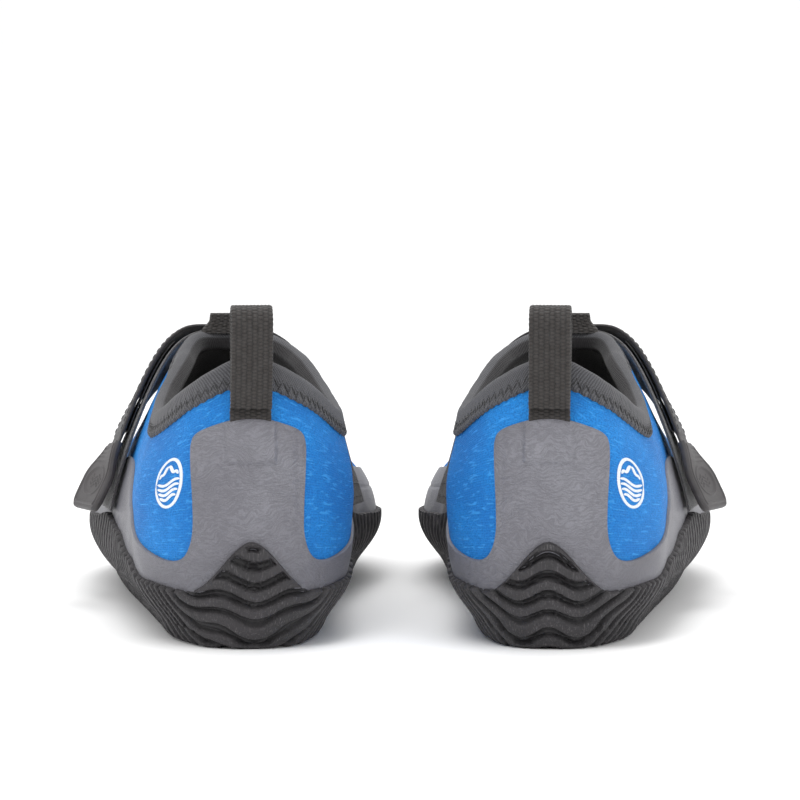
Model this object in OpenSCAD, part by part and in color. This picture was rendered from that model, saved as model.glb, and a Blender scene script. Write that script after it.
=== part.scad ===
// A pair of low-cut neoprene water shoes, standing side by side on the floor.
// Each shoe is drawn in its own frame: X towards its medial side, Y from heel to toe, Z up,
// with the origin on the floor under the back of the heel. The left shoe is turned toes-out
// and set to the left, and the right shoe is its mirror image.

/* [Pair] */
// Distance between the two heels, centre to centre
heel_spacing = 94; // [90:1:120]
// Angle that each toe is turned outwards
toe_out = 5; // [3:0.5:8]

/* [Upper] */
// Height of the collar at the back of the heel
heel_height = 92; // [88:0.5:95]
// Height of the collar at its low point beside the ankle
ankle_height = 73; // [70:0.5:78]
// Height of the collar at the front, over the instep
instep_height = 92; // [90:0.5:95]
// Thickness of the neoprene
neoprene_t = 3; // [2.6:0.1:3.2]
// Thickness of the lining
lining_t = 0.9; // [0.6:0.1:1]
// Thickness of the moulded overlays
overlay_t = 1; // [0.8:0.1:1.2]
// Width of the collar binding
binding_w = 8; // [6:0.5:8.5]

/* [Sole] */
// Thickness of the outsole under the foot
sole_t = 4; // [3.6:0.1:4.2]
// Thickness of the outsole's side wall
rand_t = 3; // [2.6:0.1:3.2]

/* [Webbing and strap] */
// Width of the heel loop's webbing
loop_w = 13; // [12:0.5:15]
// Thickness of the heel loop's webbing
loop_t = 1.5; // [1.2:0.1:1.6]
// Width of the instep strap
strap_w = 25; // [22:0.5:26]
// Thickness of the instep strap
strap_t = 1.6; // [1.4:0.1:1.7]

/* [Hidden] */
$fn = 48;
PARTS = [
    "outsole", "midsole", "insole_board", "footbed", "lining", "quarter_lateral",
    "quarter_medial", "vamp", "heel_overlay", "toe_overlay", "collar_binding",
    "binding_stitch", "side_print", "heel_loop", "front_tab", "closure_strap", "ring_anchor",
    "ring_frame", "instep_strap", "hook_pad", "strap_tab"
];

// Gap left between bonded layers, so that their facets never cross
gap = 0.3;
// Distance from the pair's middle back to the heels
heel_back = 135.7;

// --- Form of the upper ---------------------------------------------------------------------
// The neoprene's outer face is a smooth surface over two coordinates. a goes once round the
// shoe: 0 at the toe tip, 1 to 10 down the medial side, 11 at the back of the heel and 12 to
// 21 back along the lateral side. v goes up the wall: 0 where it turns under the foot, 1 at
// its widest, 2 and 3 above that, and 4 on the ridge over the toes and instep. From station 7
// back, row 3 is the collar, and row 4 only sets the slope there.
TURN = 22;
HEEL = 11;
FRONT = 6;
feather_z = 8;
tuck = 8;
wall_bulge = 3.4;
// Widest line at each station, toe tip to heel: medial x and y, lateral x and y, and height
widest = [
    [14, 272, 14, 272, 18], [35, 263, -8, 265, 19], [50, 241, -27, 244, 20],
    [55, 212, -39, 217, 21], [53, 182, -44, 188, 22], [45.5, 151, -43.5, 157, 22],
    [38.5, 120, -41, 126, 22], [34.5, 88, -38, 94, 22], [33, 56, -35, 58, 22],
    [31, 29, -32, 29, 22], [19.5, 8.5, -19.5, 8.5, 22], [0, 1.5, 0, 1.5, 22]
];
// Ridge from toe tip to collar: x, y, z. From station 7 the points lie above the collar
crest = [
    [12.6, 247, 40], [12, 241, 42.5], [10, 223, 47.5], [8, 199, 54], [5, 173, 63], [2, 148, 76],
    [0, 121, instep_height], [8, 106, 102], [20, 78, 106], [22, 47, 106], [13, 24, 113],
    [0, 17, 115]
];
// Collar from station 7 to the heel: x, y and z
collar = [
    [22, 98, 87], [29, 70, ankle_height + 4], [30, 41, ankle_height],
    [17, 15, heel_height - 7], [0, 9, heel_height]
];
// The collar's lateral half lies this much nearer the middle, by station
collar_inset = [4.4, 3.6, 2.8, 1, 0];
// How far each station's wall folds over towards the ridge, from 0 (upright) to 1
fold = [1, 1, 1, 1, 0.9, 0.75, 0.5, 0.2, 0, 0, 0, 0];
// Extra height of the instep's shoulders beside the ridge, as a share of the wall
shoulder = [0, 0, 0, 0, 0.005, 0.03, 0.1];

function flat(p) = [p[0], p[1]];
function mix(p, q, t) = p + (q - p) * t;
function unit(p) = p / norm(p);
function clamp(x, low, high) = min(max(x, low), high);
function smooth(x) = let (t = clamp(x, 0, 1)) t * t * (3 - 2 * t);
// Value of a list at k, eased between whole stations
function eased(list, k) =
    let (i = clamp(floor(k), 0, len(list) - 2)) mix(list[i], list[i + 1], smooth(k - i));
// Horizontal direction from p towards the middle line of the foot
function spine(p) = let (y = clamp(p[1], 34, 226)) [10 * smooth((y - 60) / 180), y];
function inward(p) = unit(spine(p) - flat(p));

function turned(a) = a - TURN * floor(a / TURN);
function station(a) = turned(a) <= HEEL ? turned(a) : TURN - turned(a);
function side_of(a) = turned(a) <= HEEL ? 1 : -1;

function row_point(k, side, row) =
    let (
        w = widest[k],
        out = side > 0 ? [w[0], w[1]] : [w[2], w[3]],
        c = crest[k],
        top = [k <= FRONT ? c[0] : side * c[0], c[1], c[2]],
        rear = k > FRONT,
        rim = rear ? collar[k - FRONT - 1] : [0, 0, 0],
        half = rear ? rim[0] - (side < 0 ? collar_inset[k - FRONT - 1] : 0) : 0,
        goal = rear ? [side * half, rim[1], rim[2]] : top,
        f = fold[k],
        share = rear ? [0.42, 0.5] : [mix(0.35, 0.134, f), mix(0.4, 0.5, f)]
    )
    row == -1 ? 2 * row_point(k, side, 0) - row_point(k, side, 1) :
    row == 0 ? [each out + inward(out) * tuck, feather_z] :
    row == 1 ? [each out, w[4]] :
    row == 2 ? [
        each mix(out, flat(goal), share[0]) - inward(out) * wall_bulge * (1 - f),
        mix(w[4], goal[2], share[1])
    ] :
    row == 3 ? (rear ? goal : [
        each mix(out, flat(goal), mix(0.68, 0.5, f)),
        mix(w[4], goal[2], mix(0.75, 0.866, f) + shoulder[k])
    ]) :
    row == 4 ? top :
    k == 0 || rear ? 2 * top - row_point(k, side, 3) : row_point(k, -side, 3);

NET = [for (a = [0 : TURN - 1]) [for (row = [-1 : 5]) row_point(station(a), side_of(a), row)]];

// Weights of four neighbouring values on a smooth curve through them, and of its slope
function weights(t) = [
    (-t + 2 * t * t - t * t * t) / 2, (2 - 5 * t * t + 3 * t * t * t) / 2,
    (t + 4 * t * t - 3 * t * t * t) / 2, (-t * t + t * t * t) / 2
];
function slopes(t) = [
    (-1 + 4 * t - 3 * t * t) / 2, (-10 * t + 9 * t * t) / 2,
    (1 + 8 * t - 9 * t * t) / 2, (-2 * t + 3 * t * t) / 2
];
function near(a, v) = [
    for (i = [-1 : 2]) [for (j = [0 : 3])
        NET[turned(floor(a) + i)][clamp(floor(v), 0, 3) + j]]
];
function blend(wa, wv, points) = wa * [for (row = points) wv * row];

// Point of the upper at a and v, its normal there, and the point moved out by d
function form(a, v) =
    blend(weights(a - floor(a)), weights(v - clamp(floor(v), 0, 3)), near(a, v));
function along(a, v) =
    blend(slopes(a - floor(a)), weights(v - clamp(floor(v), 0, 3)), near(a, v));
function upward(a, v) =
    blend(weights(a - floor(a)), slopes(v - clamp(floor(v), 0, 3)), near(a, v));
// The ridge begins at the toe tip, where its slope vanishes, so the normal is taken just below
function normal(a, v) =
    let (w = station(a) < 0.6 ? min(v, 3.9) : v) unit(cross(upward(a, w), along(a, w)));
function skin(a, v, d) = form(a, v) + normal(a, v) * d;

// Point at station k of one side, where v past the ridge goes down the other side
function on_side(side, k, v) = let (s = v > 4 ? -side : side) [s > 0 ? k : TURN - k, v > 4 ? 8 - v : v];

// Collar line: [k, v] at s from 0 on the instep to 1 at the heel, w mm below the edge
bend = 0.22;
function collar_scale(s) = s < bend ? mix(30, 22, s / bend) : mix(22, 33, (s - bend) / (1 - bend));
function collar_kv(s, w) =
    let (r = 1 + w / collar_scale(s))
    s < bend ? [FRONT + 1 - r * cos(90 * s / bend), 4 - r * sin(90 * s / bend)] :
    [mix(FRONT + 1, HEEL, (s - bend) / (1 - bend)), 4 - r];
// Point on the collar: t from 0 to 1 is the medial half, 1 to 2 the lateral half
function collar_point(t, w, d) =
    let (
        side = t <= 1 ? 1 : -1,
        s = t <= 1 ? t : 2 - t,
        kv = collar_kv(s, max(w, 0)),
        p = on_side(side, kv[0], kv[1]),
        edge = skin(p[0], p[1], d),
        low_kv = collar_kv(s, 2),
        low = on_side(side, low_kv[0], low_kv[1])
    )
    w >= 0 ? edge : edge + unit(edge - skin(low[0], low[1], d)) * -w;

// Height of the upper's top edge: the collar behind station 6, the ridge in front of it
// Round the front corner of the collar the panels stop a little below the edge, by this share
corner_cut = 0.1;
function top_v(k) = let (
        r = 1 + corner_cut * (1 - smooth((k - FRONT - 0.4) / 0.6)),
        side_on = FRONT + 1 - k
    )
    k >= FRONT + 1 ? 3 : side_on >= r ? 4 : 4 - sqrt(pow(r, 2) - pow(side_on, 2));
// Top edge of the outsole's wall and of the overlays above it, as v
rand_line = [1.35, 1.2, 1.1, 1.1, 1.12, 1.2, 1.3, 1.22, 1.08, 0.9, 0.84, 1.4];
overlay_line = [2.6, 2.35, 2.1, 1.96, 1.88, 1.86, 1.9, 1.84, 1.66, 1.38, 1.24, 1.24];
function rand_v(a) = eased(rand_line, station(a));
patch_top = 2.42;
patch_edge = 10.16;
function overlay_v(a) = let (k = station(a))
    mix(eased(overlay_line, k), patch_top, smooth((k - patch_edge + 0.1) / 0.2));
// The two overlays meet under the ring's anchor on the medial side and under the strap's foot
// on the lateral side
medial_join = 5.5;
lateral_join = 6;

// --- Solids from grids of points -----------------------------------------------------------
function flip(f) = [for (i = [len(f) - 1 : -1 : 0]) f[i]];
function quad(p, q, r, s) = [[p, r, q], [p, s, r]];
function joined(lists) = [for (list = lists) each list];

// Sheet between two grids of points, outer and inner, given as lists of columns.
// closed joins the last column to the first. Where zip is true for a column, its last point
// is shared with the mirrored column, as on the ridge of the toes.
module sheet(outer, inner, closed = false, zip = []) {
    n = len(outer);
    m = len(outer[0]);
    cells = closed ? n - 1 : n - 2;
    last = closed ? n : n - 1;
    function shared(i, j) = j == m - 1 && len(zip) && zip[i % n];
    function home(i, j) = shared(i, j) ? min(i % n, last - i % n) : i % n;
    function id(i, j, layer) = layer * n * m + home(i, j) * m + j;
    function open_top(i) = !(len(zip) && zip[i] && zip[(i + 1) % n]);
    faces = joined([
        for (i = [0 : cells]) for (j = [0 : m - 2])
            quad(id(i, j, 0), id(i, j + 1, 0), id(i + 1, j + 1, 0), id(i + 1, j, 0)),
        for (i = [0 : cells]) for (j = [0 : m - 2])
            quad(id(i, j, 1), id(i + 1, j, 1), id(i + 1, j + 1, 1), id(i, j + 1, 1)),
        for (i = [0 : cells]) quad(id(i, 0, 0), id(i + 1, 0, 0), id(i + 1, 0, 1), id(i, 0, 1)),
        for (i = [0 : cells]) if (open_top(i))
            quad(id(i, m - 1, 0), id(i, m - 1, 1), id(i + 1, m - 1, 1), id(i + 1, m - 1, 0)),
        for (j = [0 : m - 2]) if (!closed)
            quad(id(0, j, 0), id(0, j, 1), id(0, j + 1, 1), id(0, j + 1, 0)),
        for (j = [0 : m - 2]) if (!closed)
            quad(id(n - 1, j, 0), id(n - 1, j + 1, 0), id(n - 1, j + 1, 1), id(n - 1, j, 1))
    ]);
    whole = [for (f = faces) if (f[0] != f[1] && f[1] != f[2] && f[2] != f[0]) f];
    polyhedron([each joined(outer), each joined(inner)], whole);
}

// Loft through closed rings of the same count. Each end is filled by rungs from the medial
// side to the lateral side, or with hollow = true the last ring joins the first.
module loft(rings, hollow = false) {
    n = len(rings[0]);
    m = len(rings);
    function id(r, i) = (r % m) * n + (i % n);
    walls = [
        for (r = [0 : hollow ? m - 1 : m - 2]) for (i = [0 : n - 1])
            each quad(id(r, i), id(r + 1, i), id(r + 1, i + 1), id(r, i + 1))
    ];
    rungs = [for (i = [0 : n / 2 - 1]) quad(i, i + 1, n - i - 1, (n - i) % n)];
    whole = [for (q = rungs) for (f = q) if (f[0] != f[1] && f[1] != f[2] && f[2] != f[0]) f];
    caps = hollow ? [] : [
        each whole,
        for (f = whole) [for (i = flip(f)) i + (m - 1) * n]
    ];
    polyhedron(joined(rings), [each walls, each caps]);
}

steps = 3;
ROUND = [for (i = [0 : TURN * steps - 1]) i / steps];
function span(from, to, count) = [for (i = [0 : count]) mix(from, to, i / count)];

// --- Sole and inside -----------------------------------------------------------------------
// Level ring at height z, moved in from the feather line by inset
function level_ring(inset, z) = [
    for (a = ROUND) let (p = form(a, 0)) [each flat(p) + inward(p) * inset, z]
];

module outsole() {
    toe_spring = 2.5;
    function lift(y) = toe_spring * smooth((y - 225) / 50);
    tread = level_ring(10, 0);
    contact = [for (p = level_ring(2.4, 0)) p + [0, 0, lift(p[1])]];
    corner = [for (p = level_ring(-0.6, 2.6)) p + [0, 0, lift(p[1])]];
    wall = [
        for (i = [0 : 3]) [for (a = ROUND) skin(a, mix(0, rand_v(a) - 0.06, i / 3), rand_t)]
    ];
    lip = [for (a = ROUND) skin(a, rand_v(a), rand_t - 0.8)];
    foot_side = [
        for (row = [2 : -1 : 0]) [for (a = ROUND) skin(a, upper_rows(a, 4)[row], 2 * gap)]
    ];
    floor_rings = [for (inset = [1, 9]) level_ring(inset, sole_t)];
    color("#2f2d30")
        loft([tread, contact, corner, each wall, lip, each foot_side, each floor_rings]);
}

module midsole() {
    low = sole_t + gap;
    high = feather_z - 1.4;
    color("#26262a") loft([level_ring(3, low), level_ring(1.6, high - 0.4), level_ring(2.2, high)]);
}

module insole_board() {
    low = feather_z - 1.1;
    high = feather_z + 0.8;
    color("#8c8a86") loft([level_ring(3.4, low), level_ring(4, high)]);
}

module footbed() {
    low = feather_z + 1.1;
    middle = low + 1.6;
    high = low + 3.6;
    color("#28242a") loft([level_ring(6.6, low), level_ring(6, middle), level_ring(4.6, high)]);
}

// --- Upper ---------------------------------------------------------------------------------
// Columns of a panel on the stations in list, between v_low(a) and v_high(a), at depth d
function panel(list, lows, highs, rows, d) = [
    for (i = [0 : len(list) - 1]) [for (j = [0 : rows])
        skin(list[i], mix(lows[i], highs[i], j / rows), d)]
];
module patch(list, lows, highs, rows, d_out, d_in) {
    sheet(panel(list, lows, highs, rows, d_out), panel(list, lows, highs, rows, d_in));
}

quarter_from = 5;
seam = 0.008;
wall_foot = 0.06;
// Rows of a neoprene panel at a, up to v = high: the lowest three are those of the outsole's wall
function upper_rows(a, high) = let (rand = rand_v(a))
    [wall_foot, mix(wall_foot, rand, 0.5), rand, for (i = [1 : 6]) mix(rand, high, i / 6)];

module quarter(side) {
    ks = span(quarter_from + seam, HEEL - seam, 18);
    list = [for (k = side > 0 ? ks : flip(ks)) side > 0 ? k : TURN - k];
    // The two quarters meet in a mitred seam on the ridge
    function face(high, d) = [
        for (a = list) [for (v = upper_rows(a, min(high, top_v(station(a))))) skin(a, v, d)]
    ];
    color("#2d82c8") sheet(face(3.985, 0), face(3.9, -neoprene_t));
}

module vamp() {
    list = span(-quarter_from + seam, quarter_from - seam, 30);
    function face(d) = [for (a = list) [for (v = upper_rows(a, 4)) skin(a, v, d)]];
    color("#2d82c8") sheet(face(0), face(-neoprene_t), zip = [for (a = list) true]);
}

module lining() {
    foot = 0.22;
    function face(d) = [
        for (a = ROUND) let (top = top_v(station(a)), vs = upper_rows(a, top))
            [skin(a, foot, d), for (row = [1 : len(vs) - 1]) skin(a, vs[row], d)]
    ];
    outer_d = -neoprene_t - gap;
    color("#28222a")
        sheet(face(outer_d), face(outer_d - lining_t), closed = true,
            zip = [for (a = ROUND) top_v(station(a)) > 3.999]);
}

module heel_overlay() {
    rear = [9.95, 10.06, 10.12, 10.18, 10.24, 10.34, 10.6, 10.8];
    list = [
        each span(medial_join + 0.02, 9.8, 11), each rear, HEEL,
        for (k = flip(rear)) TURN - k, each span(TURN - 9.8, TURN - lateral_join - 0.02, 10)
    ];
    color("#837f88")
        patch(list, [for (a = list) rand_v(a) + 0.03], [for (a = list) overlay_v(a)], 5,
            overlay_t + gap, gap);
}

module toe_overlay() {
    list = span(-lateral_join + 0.02, medial_join - 0.02, 30);
    color("#8f8c94")
        patch(list, [for (a = list) rand_v(a) + 0.03], [for (a = list) overlay_v(a)], 4,
            overlay_t + gap, gap);
}

module collar_binding() {
    inner = -neoprene_t - lining_t - 3 * gap;
    inner_leg = 3;
    section = [
        [binding_w, gap], [binding_w, gap + 0.8], [3, gap + 1.1], [0, gap + 0.9],
        [-1.3, -0.9], [-1.3, inner + 0.9], [0, inner - 0.9], [inner_leg, inner - 0.9],
        [inner_leg, inner], [-0.3, inner], [-0.3, gap]
    ];
    half = [each span(0, bend, 10), each [for (t = span(bend, 1, 17)) if (t > bend) t]];
    round_t = [each half, for (i = [len(half) - 2 : -1 : 1]) 2 - half[i]];
    rings = [for (p = section) [for (t = round_t) collar_point(t, p[0], p[1])]];
    color("#59595b") loft(rings, hollow = true);
}

module binding_stitch() {
    count = 112;
    zig = 1.4;
    thread = 0.35;
    function w(i) = binding_w - 2.2 + (i % 2 ? zig : -zig);
    section = [[-thread, gap + 1.25], [thread, gap + 1.25], [0, gap + 1.25 + thread]];
    rings = [
        for (p = section)
            [for (i = [0 : count - 1]) collar_point(2 * i / count, w(i) + p[0], p[1])]
    ];
    color("#202022") loft(rings, hollow = true);
}

module side_print() {
    print_t = 0.35;
    list = [for (k = span(9.92, 9.3, 4)) TURN - k];
    color("#dcdfe2")
        patch(list, [for (a = list) 1.62], [for (a = list) 2.2], 4, 0.1 + print_t, 0.1);
}

// --- Heel loop and front tab ---------------------------------------------------------------
loop_pivot = [0, 0.9, 73.4];
loop_lean = 3;
loop_length = 31;
loop_r = 4.2;

// Outline of a teardrop of end radius r, with its point at the origin
module teardrop(r, length) {
    open = asin(r / length);
    start = [r * cos(open), length + r * -sin(open)];
    polygon([[0, 0], for (i = [0 : 24]) let (w = mix(-open, 180 + open, i / 24))
        [r * cos(w), length + r * sin(w)]]);
}

module heel_loop() {
    color("#3c3735")
    translate(loop_pivot)
    rotate([-loop_lean, 0, 0])
    rotate([90, 0, 90])
    translate([0, 0, -loop_w / 2])
    linear_extrude(loop_w)
    difference() {
        teardrop(loop_r + loop_t, loop_length);
        translate([0, loop_t * 4]) teardrop(loop_r, loop_length - loop_t * 4);
    }
}

tab_pivot = [0, 119.6, instep_height + 2.6];
tab_lean = -12;
tab_h = 5.5;

module front_tab() {
    tab_t = 2.4;
    foot_w = 22;
    head_w = 14;
    round_r = 2;
    color("#3c3735")
    translate(tab_pivot)
    rotate([90 + tab_lean, 0, 0])
    translate([0, 0, -tab_t / 2])
    linear_extrude(tab_t)
    union() {
        polygon([
            [-foot_w / 2, 0], [foot_w / 2, 0], [head_w / 2, tab_h - round_r],
            [-head_w / 2, tab_h - round_r]
        ]);
        for (x = [-1, 1]) translate([x * (head_w / 2 - round_r), tab_h - round_r]) circle(round_r);
        translate([0, tab_h - round_r / 2]) square([head_w - 2 * round_r, round_r], center = true);
    }
}

// --- Instep strap --------------------------------------------------------------------------
// q goes across the instep: 0 on the ridge, negative down the lateral side, positive down the
// medial side. x goes across the strap's width, forward positive.
station_mm = 31;
strap_k = 5.5;
ring_q = 1.42;
strap_end_q = -1.95;
base_end_q = -2.64;
function strap_av(q, x) =
    let (k = strap_k + 0.5 * smooth(-q / 2.7) - x / station_mm) on_side(q > 0 ? 1 : -1, k, 4 - abs(q));
function strap_skin(q, x, d) = let (p = strap_av(q, x)) skin(p[0], p[1], d);
// Height of the base strap above the neoprene: it passes over the binding and the overlay
base_d = 2.15;
bar_r = 1.5;
ring_h = 7.6;
ring_reach = base_d + strap_t + 0.2 + bar_r + gap;

ring_top = strap_skin(ring_q, 0, ring_reach);
ring_e = unit(strap_skin(ring_q, 6, ring_reach) - strap_skin(ring_q, -6, ring_reach));
ring_up = let (up = strap_skin(ring_q - 0.12, 0, ring_reach) - strap_skin(ring_q + 0.12, 0, ring_reach))
    unit(up - ring_e * (up * ring_e));
ring_out = unit(cross(ring_up, ring_e)) * (cross(ring_up, ring_e)[0] > 0 ? 1 : -1);
ring_low = ring_top - ring_up * ring_h;

xs = span(-strap_w / 2, strap_w / 2, 4);
function strap_columns(qs, d) = [for (q = qs) [for (x = xs) strap_skin(q, x, d)]];
// Columns of the webbing where it turns round a bar: angle 0 points out, 90 up
function turn_columns(centre, r, from, to, count, half_w) = [
    for (w = span(from, to, count)) [for (x = span(-half_w, half_w, 4))
        centre + ring_e * x + (ring_out * cos(w) + ring_up * sin(w)) * r]
];

module closure_strap() {
    qs = span(base_end_q, ring_q - 0.18, 14);
    color("#333034")
        sheet(strap_columns(qs, base_d), strap_columns(qs, base_d + strap_t));
}

// Extra height of the returning strap: the hook pad lies under its lateral end
function return_d(q) =
    base_d + strap_t + gap + 0.1 + mix(0, 1.3, smooth((-q - 0.4) / 0.4))
    + mix(0, 1.2, smooth((q - 0.6) / 0.6));

module instep_strap() {
    qs = span(strap_end_q, ring_q - 0.3, 13);
    low = [for (q = qs) [for (x = xs) strap_skin(q, x, return_d(q))]];
    high = [for (q = qs) [for (x = xs) strap_skin(q, x, return_d(q) + strap_t)]];
    r_in = bar_r + gap;
    turn_in = turn_columns(ring_top, r_in, 60, -180, 8, strap_w / 2);
    turn_out = turn_columns(ring_top, r_in + strap_t, 60, -180, 8, strap_w / 2);
    color("#3a3639") sheet([each low, each turn_in], [each high, each turn_out]);
}

module hook_pad() {
    qs = span(strap_end_q + 0.06, -0.95, 6);
    bottom = base_d + strap_t + gap;
    color("#1d1c1e") sheet(
        [for (q = qs) [for (x = xs) strap_skin(q, x * 0.94, bottom)]],
        [for (q = qs) [for (x = xs) strap_skin(q, x * 0.94, bottom + 1)]]
    );
}

// Ring and its anchor on the medial side
function ring_frame_matrix(at) = [
    [ring_out[0], ring_e[0], ring_up[0], at[0]],
    [ring_out[1], ring_e[1], ring_up[1], at[1]],
    [ring_out[2], ring_e[2], ring_up[2], at[2]],
    [0, 0, 0, 1]
];
ring_w = strap_w + 8;

module ring_frame() {
    plate_t = 2.6;
    plate_r = 1.9;
    color("#77757a") multmatrix(ring_frame_matrix(ring_low)) union() {
        for (z = [0, ring_h]) translate([0, -ring_w / 2, z]) rotate([-90, 0, 0])
            cylinder(r = bar_r, h = ring_w);
        for (y = [-ring_w / 2, ring_w / 2 - plate_t]) {
            for (z = [0, ring_h]) translate([0, y, z]) rotate([-90, 0, 0])
                cylinder(r = plate_r, h = plate_t);
            translate([-plate_r, y, 0]) cube([2 * plate_r, plate_t, ring_h]);
        }
    }
}

module ring_anchor() {
    web_t = 1.2;
    half_w = strap_w / 2 - 1;
    foot_q = 4 - 1.36;
    r_in = bar_r + gap;
    wide = span(-half_w, half_w, 4);
    function leg(q, d) = [for (x = wide) strap_skin(q, x, d)];
    qs = [foot_q, mix(foot_q, ring_q, 0.35)];
    leg_d = overlay_t + 3 * gap;
    inner_in = [for (q = qs) leg(q, leg_d)];
    inner_out = [for (q = qs) leg(q, leg_d + web_t)];
    turn_out = turn_columns(ring_low, r_in + web_t, 190, -40, 8, half_w);
    turn_in = turn_columns(ring_low, r_in, 190, -40, 8, half_w);
    tail_d = leg_d + web_t + 0.2;
    tail_in = [for (q = flip(qs)) leg(q, tail_d)];
    tail_out = [for (q = flip(qs)) leg(q, tail_d + web_t)];
    color("#2c2a2c") sheet(
        [each inner_out, each turn_in, each tail_in],
        [each inner_in, each turn_out, each tail_out]
    );
}

// Moulded tab at the lateral end of the strap
tab_top = strap_skin(strap_end_q - 0.05, 0, return_d(-2) + strap_t / 2);
tab_e = unit(strap_skin(strap_end_q, 6, 5) - strap_skin(strap_end_q, -6, 5));
tab_down = let (down = strap_skin(strap_end_q - 0.1, 0, 5) - strap_skin(strap_end_q + 0.1, 0, 5))
    unit(down - tab_e * (down * tab_e));
tab_out = cross(tab_down, tab_e) * (cross(tab_down, tab_e)[0] < 0 ? 1 : -1);
tab_tilt = 6;

module strap_tab() {
    tab_len = 25;
    tab_w = strap_w + 3;
    tab_t = 2.8;
    corner = 5;
    clear = 1;
    fall = tab_down * cos(tab_tilt) + tab_out * sin(tab_tilt);
    face = tab_out * cos(tab_tilt) - tab_down * sin(tab_tilt);
    at = tab_top + fall * clear;
    color("#4b4749") multmatrix([
        [tab_e[0], fall[0], face[0], at[0]],
        [tab_e[1], fall[1], face[1], at[1]],
        [tab_e[2], fall[2], face[2], at[2]],
        [0, 0, 0, 1]
    ])
    translate([0, 0, -tab_t / 2])
    linear_extrude(tab_t)
    union() {
        translate([-strap_w / 2 - 1, 0]) square([strap_w + 2, 8]);
        translate([-tab_w / 2, 4]) square([tab_w, tab_len - 4 - corner]);
        translate([-tab_w / 2 + corner, 6]) square([tab_w - 2 * corner, tab_len - 6]);
        for (x = [-1, 1]) translate([x * (tab_w / 2 - corner), tab_len - corner]) circle(corner);
    }
}

// --- Both shoes ----------------------------------------------------------------------------
module piece(name) {
    if (name == "outsole") outsole();
    if (name == "midsole") midsole();
    if (name == "insole_board") insole_board();
    if (name == "footbed") footbed();
    if (name == "lining") lining();
    if (name == "quarter_lateral") quarter(-1);
    if (name == "quarter_medial") quarter(1);
    if (name == "vamp") vamp();
    if (name == "heel_overlay") heel_overlay();
    if (name == "toe_overlay") toe_overlay();
    if (name == "collar_binding") collar_binding();
    if (name == "binding_stitch") binding_stitch();
    if (name == "side_print") side_print();
    if (name == "heel_loop") heel_loop();
    if (name == "front_tab") front_tab();
    if (name == "closure_strap") closure_strap();
    if (name == "ring_anchor") ring_anchor();
    if (name == "ring_frame") ring_frame();
    if (name == "instep_strap") instep_strap();
    if (name == "hook_pad") hook_pad();
    if (name == "strap_tab") strap_tab();
}

// Puts a left shoe's piece in its place in the pair
module left() {
    translate([-heel_spacing / 2, -heel_back, 0]) rotate([0, 0, toe_out]) children();
}
module right() {
    mirror([1, 0, 0]) left() children();
}

for (part = PARTS) {
    left() piece(part);
    right() piece(part);
}
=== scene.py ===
"""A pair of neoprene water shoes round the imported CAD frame. Lengths are in mm until they are placed."""
import math

import bmesh
import bpy
import numpy as np
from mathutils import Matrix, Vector


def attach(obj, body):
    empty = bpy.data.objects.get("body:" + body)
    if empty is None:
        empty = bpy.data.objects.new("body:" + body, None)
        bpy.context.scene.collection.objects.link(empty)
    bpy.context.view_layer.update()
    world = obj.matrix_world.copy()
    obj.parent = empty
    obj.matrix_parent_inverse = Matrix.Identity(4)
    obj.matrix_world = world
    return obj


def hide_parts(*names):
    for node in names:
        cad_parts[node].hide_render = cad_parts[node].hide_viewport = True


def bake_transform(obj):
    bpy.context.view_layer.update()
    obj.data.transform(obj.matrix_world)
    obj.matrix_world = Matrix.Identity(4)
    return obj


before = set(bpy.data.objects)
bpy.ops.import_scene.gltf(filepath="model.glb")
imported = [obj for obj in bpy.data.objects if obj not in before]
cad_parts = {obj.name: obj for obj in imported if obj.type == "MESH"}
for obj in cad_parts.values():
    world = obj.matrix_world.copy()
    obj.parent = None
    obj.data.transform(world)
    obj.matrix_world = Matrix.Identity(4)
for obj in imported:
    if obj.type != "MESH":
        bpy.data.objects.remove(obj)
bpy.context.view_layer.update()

MM = 0.001
SIDES = ("left", "right")

# --- Dimensions shared with the CAD model ---------------------------------------------------
HEEL_SPACING = 94.0
TOE_OUT = math.radians(5.0)
HEEL_BACK = 135.7
HEEL_HEIGHT = 92.0
ANKLE_HEIGHT = 73.0
INSTEP_HEIGHT = 92.0
NEOPRENE_T = 3.0
LINING_T = 0.9
OVERLAY_T = 1.0
BINDING_W = 8.0
SOLE_T = 4.0
RAND_T = 3.0
LOOP_W = 13.0
LOOP_T = 1.5
STRAP_W = 25.0
STRAP_T = 1.6
GAP = 0.3
TURN, HEEL, FRONT = 22, 11, 6
FEATHER_Z = 8.0
TUCK = 8.0
WALL_BULGE = 3.4
WALL_FOOT = 0.06

# Widest line at each station, toe tip to heel: medial x and y, lateral x and y, and height
WIDEST = [
    (14, 272, 14, 272, 18), (35, 263, -8, 265, 19), (50, 241, -27, 244, 20), (55, 212, -39, 217, 21),
    (53, 182, -44, 188, 22), (45.5, 151, -43.5, 157, 22), (38.5, 120, -41, 126, 22),
    (34.5, 88, -38, 94, 22), (33, 56, -35, 58, 22), (31, 29, -32, 29, 22),
    (19.5, 8.5, -19.5, 8.5, 22), (0, 1.5, 0, 1.5, 22),
]
# Ridge from toe tip to collar. From station 7 the points lie above the collar
CREST = [
    (12.6, 247, 40), (12, 241, 42.5), (10, 223, 47.5), (8, 199, 54), (5, 173, 63), (2, 148, 76),
    (0, 121, INSTEP_HEIGHT), (8, 106, 102), (20, 78, 106), (22, 47, 106), (13, 24, 113), (0, 17, 115),
]
# Collar from station 7 to the heel
COLLAR = [
    (22, 98, 87), (29, 70, ANKLE_HEIGHT + 4), (30, 41, ANKLE_HEIGHT), (17, 15, HEEL_HEIGHT - 7),
    (0, 9, HEEL_HEIGHT),
]
# How much narrower the lateral half of the collar is, at the same stations
COLLAR_INSET = [4.4, 3.6, 2.8, 1, 0]
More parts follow.
